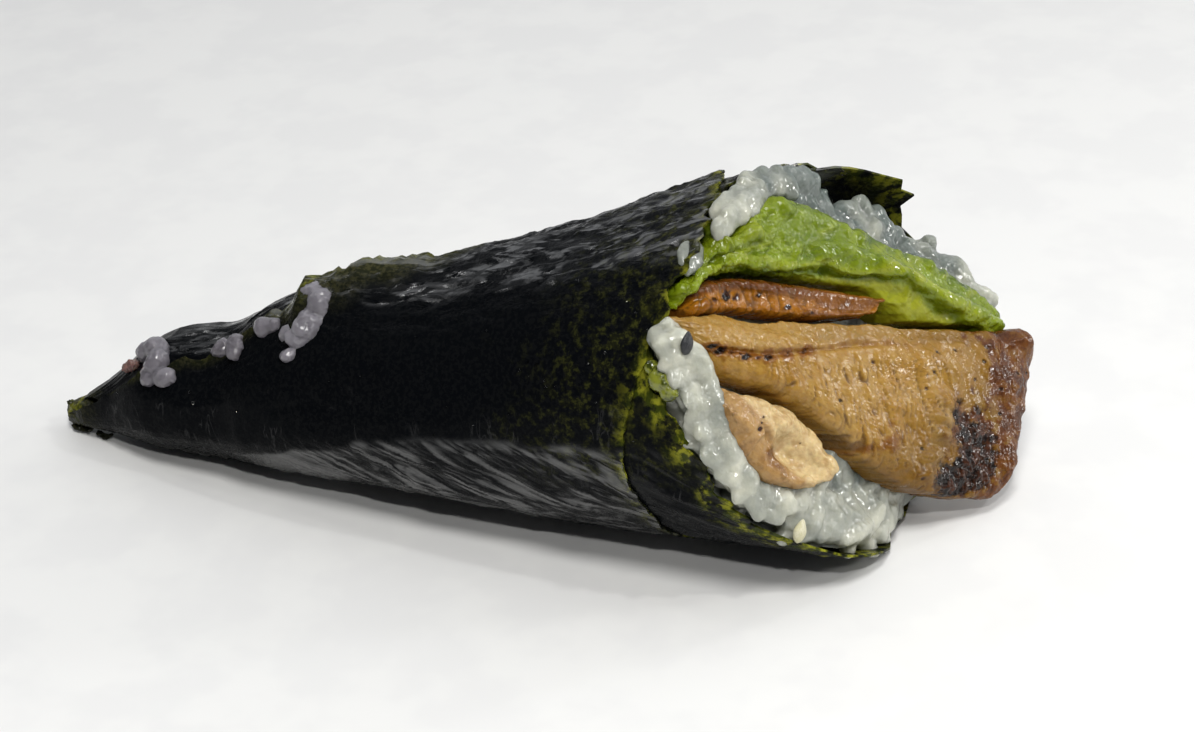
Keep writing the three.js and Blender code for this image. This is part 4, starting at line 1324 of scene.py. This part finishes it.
def avocado_relief(skin):
    spots, y, z = skin.spots, skin.y, skin.z
    over, smear, step = avocado_layers(spots, y, z)
    lip = np.where(over > 0, hill(over, 0, 1.4), hill(over, 0, 0.6) - 0.6 * smooth(-over / 1.0))
    left = 1 - smooth((y + 2) / 8)
    chunks = Noise(63).rough(spots * 0.42, 2)
    notch, lumps = marks(y, z, AVOCADO_NOTCHES), marks(y, z, AVOCADO_LUMPS)
    shelf = 0.3 * smooth((step - 0.0) / 0.35) * smooth(over / 1.2)
    fine = Noise(65).rough(xyz(y * 0.5, z * 1.4, skin.stand * 0.5), 2)
    mashed = Noise(66).rough(spots * 0.8, 3, 0.55)
    mashed = np.sign(mashed) * np.abs(mashed) ** 0.7
    return (0.34 * smear + 0.8 * lip * smooth((y + 9) / 4) + left * (0.3 * chunks + 0.3 * mashed) - notch
            + lumps + 0.5 * shelf + (0.12 * fine + 0.07 * (1 - left) * mashed) * smooth(over / 0.8))


def avocado_values(skin):
    y, z = skin.y, skin.z
    over, smear, step = avocado_layers(skin.spots, y, z)
    fuzz = Noise(67).rough(skin.spots * 0.5, 3)
    below = smooth((-over - 0.8 + 0.4 * fuzz) / 0.8)
    # Painted shade: a line under each shelf step.
    under_shelf = 0.6 * hill(step, 0.0, 0.12) * smooth(over / 1.2)
    pale = (below * smooth((y + 4) / 10) + 0.4 * hill(over, 0.2, 0.5) * smooth((y + 8) / 6)
            + 0.25 * smooth((step - 0.15) / 0.2))
    # Painted shade: a shadow band just below the ridge.
    shadow = hill(over, -0.7, 0.45) * smooth((y + 8) / 4) * (1 - 0.7 * smooth((y - 6) / 8))
    top = smooth((skin.v - 0.78 + 0.12 * fuzz) / 0.2) * smooth((y - 4) / 8)
    pits = marks(y, z, AVOCADO_PITS)
    # The dark value: painted shade below the ridge, in the smears' hollows, in the pits and under the shelf
    # steps; a darker green along the top at the right; some at random.
    dark = (0.7 * shadow + 0.6 * top + 0.45 * smooth((-smear - 0.1) / 0.4) * smooth(over) + 0.8 * pits
            + 0.15 * under_shelf + 0.25 * smooth((fuzz - 0.25) / 0.3))
    wet = hill(over, 0.6, 1.0) + 0.6 * smooth((y - 8) / 6) * smooth(over) + 0.3 * smooth(fuzz + 0.4)
    return {"pale": clamp01(pale), "dark": clamp01(dark), "wet": clamp01(wet)}


# The groove below the large strip's upper band.
LARGE_GROOVE = [(-18, 33.0), (-16.6, 33.6), (-11.8, 30.3), (-7.7, 28.5), (-1.9, 26.4), (2.4, 24.2),
                (9.3, 20.6), (14, 17.6), (22, 12)]
# Marks on the large strip: y, z, reach each way and strength. Char lies along the groove and on the
# burnt end.
LARGE_CHAR_LINE = [(-16.7, 34.0, 0.5, 0.35, 1.0), (-16.4, 33.2, 0.8, 0.4, 1.1), (-15.6, 32.5, 0.8, 0.35, 0.9),
                   (-14.4, 31.4, 0.9, 0.45, 1.1), (-13.4, 30.7, 0.5, 0.3, 0.8),
                   (-12.3, 30.1, 0.9, 0.42, 1.0), (-9.9, 29.2, 0.8, 0.35, 0.75),
                   (-7.4, 28.4, 0.9, 0.35, 0.8)]
LARGE_CHAR = LARGE_CHAR_LINE + [
    (4.6, 12.6, 1.4, 1.7, 1.2), (4.6, 10.4, 2.2, 1.7, 1.7), (6.2, 9.3, 1.3, 1.2, 1.2),
    (3.6, 8.4, 2.3, 1.7, 1.8), (1.4, 8.0, 1.9, 1.4, 1.6), (-1.0, 8.4, 1.3, 1.4, 1.3),
    (-0.7, 6.6, 2.3, 1.6, 1.8), (-2.4, 8.2, 1.4, 1.1, 1.1), (1.3, 6.0, 1.9, 1.3, 1.7),
    (3.1, 6.6, 1.8, 1.3, 1.5), (7.6, 12.2, 0.8, 1.2, 0.7), (6.2, 14.2, 1.0, 0.7, 0.7)]
PALE_RIDGE = [(4.2, 15.2, 1.0, 1.3, 0.9), (2.8, 13.8, 1.1, 1.3, 1.1), (1.2, 12.4, 1.1, 1.1, 1.1),
              (-1.4, 11.0, 1.3, 0.9, 0.9), (-3.7, 9.9, 1.2, 0.9, 0.6)]
KNOB = [(19.8, 15.0, 1.8, 1.6, 1.9), (16.5, 17.0, 1.8, 1.0, 0.7)]
STAINS = [(-5.8, 15.0, 2.6, 1.1, 1), (-8.4, 15.6, 1.4, 0.8, 0.8), (-3.0, 19.2, 0.9, 0.7, 0.5),
          (-4.0, 16.6, 1.4, 0.6, 0.6), (-10.2, 14.2, 1.0, 0.8, 0.5)]
SCORCHED = [(4.8, 10.5, 4.2, 5.0, 1), (1, 7.0, 4.2, 3.4, 1)]
PALE_MARKS = [(2.8, 13.8, 1.4, 1.6, 0.9), (1.2, 12.2, 1.4, 1.3, 0.9), (-2.0, 10.8, 1.8, 1.1, 0.8),
              (-9, 19.5, 2, 5, 0.5), (-6, 22, 3, 4, 0.35)]
WET_MARKS = [(5.5, 21.8, 6.5, 2.4, 1), (-6, 28.6, 7, 1.2, 0.8), (0.5, 8, 5, 3, 0.6), (14, 16, 4, 4, 0.8),
             (4, 9, 4, 4.5, 1), (-12, 32, 4, 1.6, 0.7)]
# Small dark specks on it: y, z.
SPECKS = [(-0.6, 23.3), (5.6, 18.6), (8.2, 20.0), (10.6, 19.0), (14.6, 17.2), (12.6, 16.4), (15.2, 13.4),
          (16.8, 12.6), (-7.9, 22.0), (-14.8, 31.9), (3.4, 17.6), (9.8, 15.4), (11.8, 13.0), (9.6, 10.8),
          (-2.2, 12.4), (-4.6, 9.6)]


def fibre_lines(y, z):
    """Across and along the meat's fibres, which run down and a little to the left."""
    return 0.9 * y - 0.42 * z, 0.42 * y + 0.9 * z


def fibre_marks(y, z):
    """Slots between the meat's fibres, painted dark brown as shade in the grooves: short, thin and in broken
    rows.
    """
    across, along = fibre_lines(y, z)
    wander = 0.3 * Noise(70).rough(xyz(y * 0.2, z * 0.2), 1)
    thread = Noise(71).creases(xyz((across + wander) * 0.75, along * 0.16), octaves=1)
    hair = Noise(68).creases(xyz((across + wander) * 1.6, along * 0.2, 3), octaves=1)
    broken = smooth((Noise(72).rough(xyz(across * 0.8, along * 0.5), 2) - 0.05) / 0.3)
    where = (smooth((-above(y, z, LARGE_GROOVE) - 0.6) / 1.6) * smooth((across + 27) / 5)
             * (1 - smooth((across + 3.5) / 5)))
    return clamp01(0.85 * smooth((thread - 0.7) / 0.2) * broken + 0.45 * smooth((hair - 0.7) / 0.25)) * where


def char_cover(places, spots, y, z, softness=0.45):
    fuzz = Noise(77).rough(spots * 0.75, 4, 0.65) + 0.6 * Noise(80).rough(spots * 2.4, 2)
    return smooth((marks(y, z, places) + 0.3 * fuzz - 0.38) / softness)


END_LINE = [(-2.5, 3.5), (4.4, 8.0), (6.4, 13.2), (12.2, 17.4)]


def past_end(y, z, fuzz):
    """1 on the browned end of the strip, right of a wandering line."""
    ys, zs = np.array(END_LINE, float).T
    line = np.interp(z, zs, ys)
    return smooth((y - line - 0.2 + 1.7 * fuzz) / 4.6)


def large_strip_relief(skin):
    spots, y, z = skin.spots, skin.y, skin.z
    over = above(y, z, LARGE_GROOVE)
    swell = 0.4 * Noise(73).rough(spots * 0.2, 3)
    groove = -0.55 * hill(over, 0, 0.4) * (1 - smooth((y + 1) / 6))
    band_top = smooth(over / 0.8)
    crinkle = 0.2 * band_top * (Noise(74).creases(spots * np.array([0.4, 0.8, 0.8])) - 0.4)
    crust_on = char_cover(LARGE_CHAR, spots, y, z)
    crust = 0.26 * crust_on * Noise(75).rough(spots * 0.9, 2) - 0.15 * crust_on
    pale_ridge, knob = marks(y, z, PALE_RIDGE), marks(y, z, KNOB)
    across, along = fibre_lines(y, z)
    ribs = 0.14 * Noise(76).rough(xyz(across * 0.8, along * 0.08), 2) * (1 - band_top)
    pits = marks(y, z, [(a, b, 0.22, 0.22, 1) for a, b in SPECKS])
    end = past_end(y, z, 0 * y) * 0.2 * Noise(69).rough(spots * 0.4, 2)
    fine = 0.05 * Noise(78).rough(spots * 2.2, 2)
    return (swell + groove + crinkle + crust + pale_ridge + ribs + knob - 0.2 * fibre_marks(y, z)
            - 0.2 * pits + end + fine)


def large_strip_values(skin):
    spots, y, z = skin.spots, skin.y, skin.z
    fuzz = Noise(79).rough(spots * 0.6, 4, 0.6)
    over = above(y, z, LARGE_GROOVE)
    specks = marks(y, z, [(a, b, 0.26, 0.26, 1) for a, b in SPECKS])
    char = np.maximum(char_cover(LARGE_CHAR, spots, y, z), 0.9 * smooth((specks - 0.3) / 0.3))
    stain = marks(y, z, STAINS)
    orange_line = hill(over, 0.1, 0.5) * (1 - smooth((y - 4) / 6)) * clamp01(0.6 + fuzz)
    tip_line = hill(over, 0.9, 0.5) * smooth((y - 6) / 5)
    around_char = smooth((marks(y, z, SCORCHED) - 0.35 + 0.4 * fuzz) / 0.5)
    seared = marks(y, z, [(a, b, 1.5 * wide, 2.0 * tall, 1) for a, b, wide, tall, _ in LARGE_CHAR_LINE])
    seared = smooth((seared - 0.3 + 0.35 * fuzz) / 0.4)
    below = smooth((13 - z) / 6) * (1 - smooth((y - 1) / 4))
    red = past_end(y, z, fuzz) * (0.75 + 0.25 * smooth(fuzz + 0.5)) + 0.7 * around_char
    # Painted shade: darker toward the strip's lower part, its right side and the right of its upper band,
    # with some random mottling.
    painted_shade_and_mottle = (0.9 * smooth((19 - z) / 9) * smooth((y + 13) / 6) + 0.35 * smooth((y - 4) / 8)
            + 0.35 * smooth(over / 0.8) * smooth((y + 10) / 8) + 0.3 * smooth(fuzz))
    brown = (smooth((stain + 0.35 * fuzz - 0.35) / 0.5) + 0.7 * orange_line + 0.45 * around_char
             + 0.3 * tip_line + 0.3 * below + 0.8 * seared)
    grainy = 0.55 * Noise(76).rough(xyz(0.9 * y - 0.42 * z, 0.05 * z), 3) * (1 - smooth(over))
    upper_band = 0.5 * smooth(over / 0.6) * (1 - smooth((y - 6) / 8)) * (0.8 + 0.9 * fuzz)
    fleshy, wet = marks(y, z, PALE_MARKS), marks(y, z, WET_MARKS)
    return {"char": char, "brown": clamp01(brown), "light": clamp01(grainy + upper_band + fleshy),
            "fibre": fibre_marks(y, z), "wet": clamp01(wet + 0.15), "red": clamp01(red),
            "painted_shade_and_mottle": clamp01(painted_shade_and_mottle)}


SMALL_CHAR = [(-11.8, 37.8, 0.6, 0.45, 1.0), (-9.8, 37.3, 0.9, 0.6, 1.15), (-8.6, 36.6, 0.7, 0.6, 1.1),
              (-6.3, 35.4, 0.5, 0.4, 0.9), (-4.1, 32.6, 0.7, 0.5, 0.9), (-1.9, 30.6, 0.5, 0.4, 0.8)]


def small_strip_streaks(u, v):
    """Fine ridges that run down the strip."""
    return Noise(83).creases(xyz(u * 26, v * 1.2), octaves=1)


def small_strip_relief(skin):
    spots, u, v = skin.spots, skin.u, skin.v
    top_edge = 0.25 * smooth((v - 0.55) / 0.15) * smooth((u - 0.2) / 0.2) * (1 - smooth((u - 0.5) / 0.3))
    streaks = small_strip_streaks(u, v) * (1 - smooth((u - 0.5) / 0.15))
    torn = smooth((u - 0.86) / 0.1) * Noise(84).rough(spots * 0.9, 3)
    flat = -0.7 * hill(v, 0.5, 0.35) + 1.1 * smooth((0.3 - u) / 0.3)
    swell, fine = Noise(81).rough(spots * 0.3, 2), Noise(82).rough(spots * 2, 2)
    return flat + 0.15 * swell + top_edge - 0.2 * streaks + 0.4 * torn + 0.05 * fine


def small_strip_values(skin):
    spots, u, v = skin.spots, skin.u, skin.v
    fuzz = Noise(85).rough(spots * 0.6, 4, 0.6)
    right = smooth((u - 0.5 + 0.1 * fuzz) / 0.2)
    amber = (1 - smooth((v - 0.5 + 0.1 * fuzz) / 0.25)) * (1 - right)
    brown = 0.25 + 0.4 * fuzz + 0.55 * smooth((v - 0.6) / 0.2) * (1 - right) - 0.3 * amber
    torn = smooth((u - 0.84 + 0.06 * fuzz) / 0.08) * smooth((0.5 - v) / 0.3)
    streaks = small_strip_streaks(u, v) * (1 - right)
    # The fibre value paints the grooves of the streaks dark, as shade in them; the shade-and-mottle value is
    # random mottling only here.
    return {"char": char_cover(SMALL_CHAR, spots, skin.y, skin.z), "brown": clamp01(brown),
            "light": clamp01(0.35 * right + 0.9 * amber + torn), "fibre": smooth((streaks - 0.7) / 0.2) * 0.8,
            "wet": 0.8 + 0 * u, "red": 0.15 * right * smooth(v), "painted_shade_and_mottle": 0.3 * smooth(fuzz)}


def lower_piece_relief(skin):
    spots, y, z = skin.spots, skin.y, skin.z
    blocks = Noise(87).rough(spots * 0.26, 2)
    facets = smooth((blocks + 0.15) / 0.35) * 0.3
    lumps = 0.1 * Noise(88).rough(spots * 0.5, 2)
    hole = marks(y, z, [(-18.4, 20.5, 0.8, 0.8, 0.5), (-19.8, 20.4, 1.0, 1.0, 0.4)])
    ridge = marks(y, z, [(-16.2, 23.4, 0.9, 1.6, 0.6), (-14.6, 19.4, 2.2, 2.6, 0.5),
                         (-15.4, 24.5, 0.5, 1.2, 0.5)])
    spot = marks(y, z, [(-19.2, 24.2, 0.6, 0.5, 0.6), (-18.3, 24.9, 0.7, 0.3, 0.3),
                        (-18.6, 23.2, 0.3, 1.6, 0.6)])
    return facets - 0.35 + lumps - hole + ridge - spot + 0.05 * Noise(90).rough(spots * 2, 2)


def lower_piece_values(skin):
    y, z = skin.y, skin.z
    fuzz = Noise(91).rough(skin.spots * 0.5, 4, 0.6)
    char = marks(y, z, [(-19.2, 24.2, 0.5, 0.4, 1.1), (-18.6, 24.8, 0.4, 0.25, 0.7),
                        (-17.9, 25.2, 0.35, 0.25, 0.7), (-14.9, 20.0, 0.2, 0.2, 0.9)])
    # Painted shade in the hollow: it is painted browner, less pale and darker.
    hole = marks(y, z, [(-18.5, 20.5, 0.75, 0.65, 1.6), (-19.2, 21.1, 0.7, 0.45, 1.4),
                        (-19.8, 20.2, 1.0, 1.4, 0.5)])
    left = 1 - smooth((y + 18.6 + 0.8 * fuzz) / 1.6)
    brown = 0.95 * smooth((hole + 0.2 * fuzz - 0.2) / 0.6) + 0.15 * smooth(fuzz)
    light = (0.85 + 0.6 * fuzz) * smooth((y + 18.6) / 1.4) + 0.25 * left - 0.6 * hole
    return {"char": smooth((char + 0.2 * fuzz - 0.45) / 0.25), "brown": clamp01(brown),
            "light": clamp01(light), "fibre": 0 * y, "wet": 0.55 + 0 * y,
            "red": 0.36 * left * clamp01(0.7 + fuzz), "painted_shade_and_mottle": clamp01(1.1 * hole)}


# ---- room ----
def make_floor():
    start_clean()
    bpy.ops.mesh.primitive_grid_add(x_subdivisions=8, y_subdivisions=8, size=6, location=(0, 0, -0.00005))
    floor = named("floor")
    bpy.ops.object.transform_apply(location=True, rotation=True, scale=True)
    floor.data.materials.append(floor_finish())


def make_light(name, place, aim, size, power, colour):
    light = bpy.data.lights.new(name, "AREA")
    light.shape, light.size, light.energy, light.color = "DISK", size, power, colour
    lamp = bpy.data.objects.new(name, light)
    lamp.location = place
    lamp.rotation_mode = "QUATERNION"
    lamp.rotation_quaternion = (Vector(aim) - Vector(place)).to_track_quat("-Z", "Y")
    bpy.context.scene.collection.objects.link(lamp)


def make_room():
    """A soft room: bright behind and above the roll and to its right, dim where the viewer stands."""
    world = bpy.data.worlds.new("soft_room")
    bpy.context.scene.world = world
    world.use_nodes = True
    tree = world.node_tree
    aim = add_node(tree, "ShaderNodeTexCoord").outputs["Generated"]
    total = None
    for towards, dim, bright, start, end in ROOM_GLOWS:
        lit = add_node(tree, "ShaderNodeVectorMath", {0: aim, 1: tuple(Vector(towards).normalized())},
                       operation="DOT_PRODUCT")
        share = add_node(tree, "ShaderNodeMapRange", {
            "Value": lit.outputs["Value"], "From Min": start, "From Max": end,
            "To Min": dim, "To Max": bright}, interpolation_type="SMOOTHSTEP").outputs["Result"]
        if total is None:
            total = share
        else:
            total = add_node(tree, "ShaderNodeMath", {0: total, 1: share}, operation="ADD").outputs[0]
    background = tree.nodes["Background"]
    background.inputs["Color"].default_value = (0.95, 0.97, 1.0, 1)
    tree.links.new(total, background.inputs["Strength"])
    for lamp in LAMPS:
        make_light(*lamp)
    bpy.context.scene.view_settings.view_transform = "Standard"


# Glows of the room: towards, strength outside and inside, and where it rises between them.
ROOM_GLOWS = [((0.1, 0.75, 0.65), 0.03, 0.7, 0.42, 0.66), ((1.0, 0.1, 0.35), 0.0, 0.25, 0.35, 0.85)]
# Lamps: name, place, aim, size across, power and colour.
LAMPS = [("softbox", (0.12, -0.24, 0.60), (0.03, 0, 0.02), 0.16, 2.2, (1.0, 0.99, 0.96)),
         ("front_lamp", (0.16, -0.34, 0.42), (0.03, 0, 0.02), 0.025, 0.75, (1.0, 0.99, 0.96)),
         ("right_lamp", (0.47, 0.116, 0.135), (0.05, 0, 0.02), 0.05, 0.48, (1.0, 0.99, 0.96)),
         ("back_lamp", (0.35, 0.27, 0.205), (0.05, 0, 0.02), 0.04, 0.2, (1.0, 0.99, 0.96)),
         ("high_lamp", (0.36, -0.06, 0.40), (0.05, 0, 0.02), 0.025, 0.35, (1.0, 0.99, 0.96)),
         ("sparkle", (-0.40, 0.06, 0.45), (0, 0, 0.02), 0.03, 0.12, (1, 1, 1))]
VIEW_TARGET = Vector((0.004761, 0.022332, 0.003524))
VIEW_DISTANCE = 0.4
VIEW_AZIMUTH, VIEW_ELEVATION, VIEW_ROLL = 19.1, 31.25, 4.49
LENS = 83.53


def make_camera():
    data = bpy.data.cameras.new("camera")
    data.lens, data.sensor_width = LENS, 36
    data.clip_start, data.clip_end = 0.01, 20
    camera = bpy.data.objects.new("camera", data)
    bpy.context.scene.collection.objects.link(camera)
    a, e = math.radians(VIEW_AZIMUTH), math.radians(VIEW_ELEVATION)
    back = Vector((math.sin(a) * math.cos(e), -math.cos(a) * math.cos(e), math.sin(e)))
    camera.location = VIEW_TARGET + back * VIEW_DISTANCE
    camera.rotation_mode = "QUATERNION"
    roll = Quaternion((0, 0, 1), -math.radians(VIEW_ROLL))
    camera.rotation_quaternion = (-back).to_track_quat("-Z", "Y") @ roll
    bpy.context.scene.camera = camera


make_camera()
make_room()
make_floor()

nori = nori_finish()
make_sheet("nori_inner_turn", INNER_TURN, INNER_ROWS, nori)
make_sheet("nori_outer_turn", OUTER_TURN, OUTER_ROWS, nori)
make_tip(nori)
make_flakes(nori)
make_beads(moisture_finish())
make_blister(bubble_finish())
make_crumb(crumb_finish())

rice = rice_finish("cooked_rice", *COOKED_RICE)
loose_rice = rice_finish("loose_rice", *LOOSE_RICE)
grains = grain_shapes(GRAIN_KINDS)
make_rice_core(rice)
make_rice(rice, grains)
make_seam_grains(loose_rice, grains)
make_seed("black_seed", seed_finish("black_sesame", BLACK_SESAME), -19.9, 36.0, 2.2, (0.1, 0.25, 1))
make_seed("white_seed", seed_finish("white_sesame", WHITE_SESAME), -21.4, 11.4, 1.7, (0.2, 0.8, 1))

glazed = chicken_finish("glazed_chicken", *GLAZED)
dark_glazed = chicken_finish("dark_glazed_chicken", *DARK_GLAZED)
pale_chicken = chicken_finish("pale_chicken", *PALE_MEAT)
make_filling("avocado", "flesh", avocado_finish(), "avocado", avocado_relief, avocado_values)
make_filling("chicken_strip_large", "meat", glazed, "glazed_chicken", large_strip_relief, large_strip_values)
make_filling("chicken_strip_small", "meat", dark_glazed, "glazed_chicken", small_strip_relief,
             small_strip_values)
make_filling("chicken_piece_lower", "meat", pale_chicken, "pale_chicken", lower_piece_relief,
             lower_piece_values)
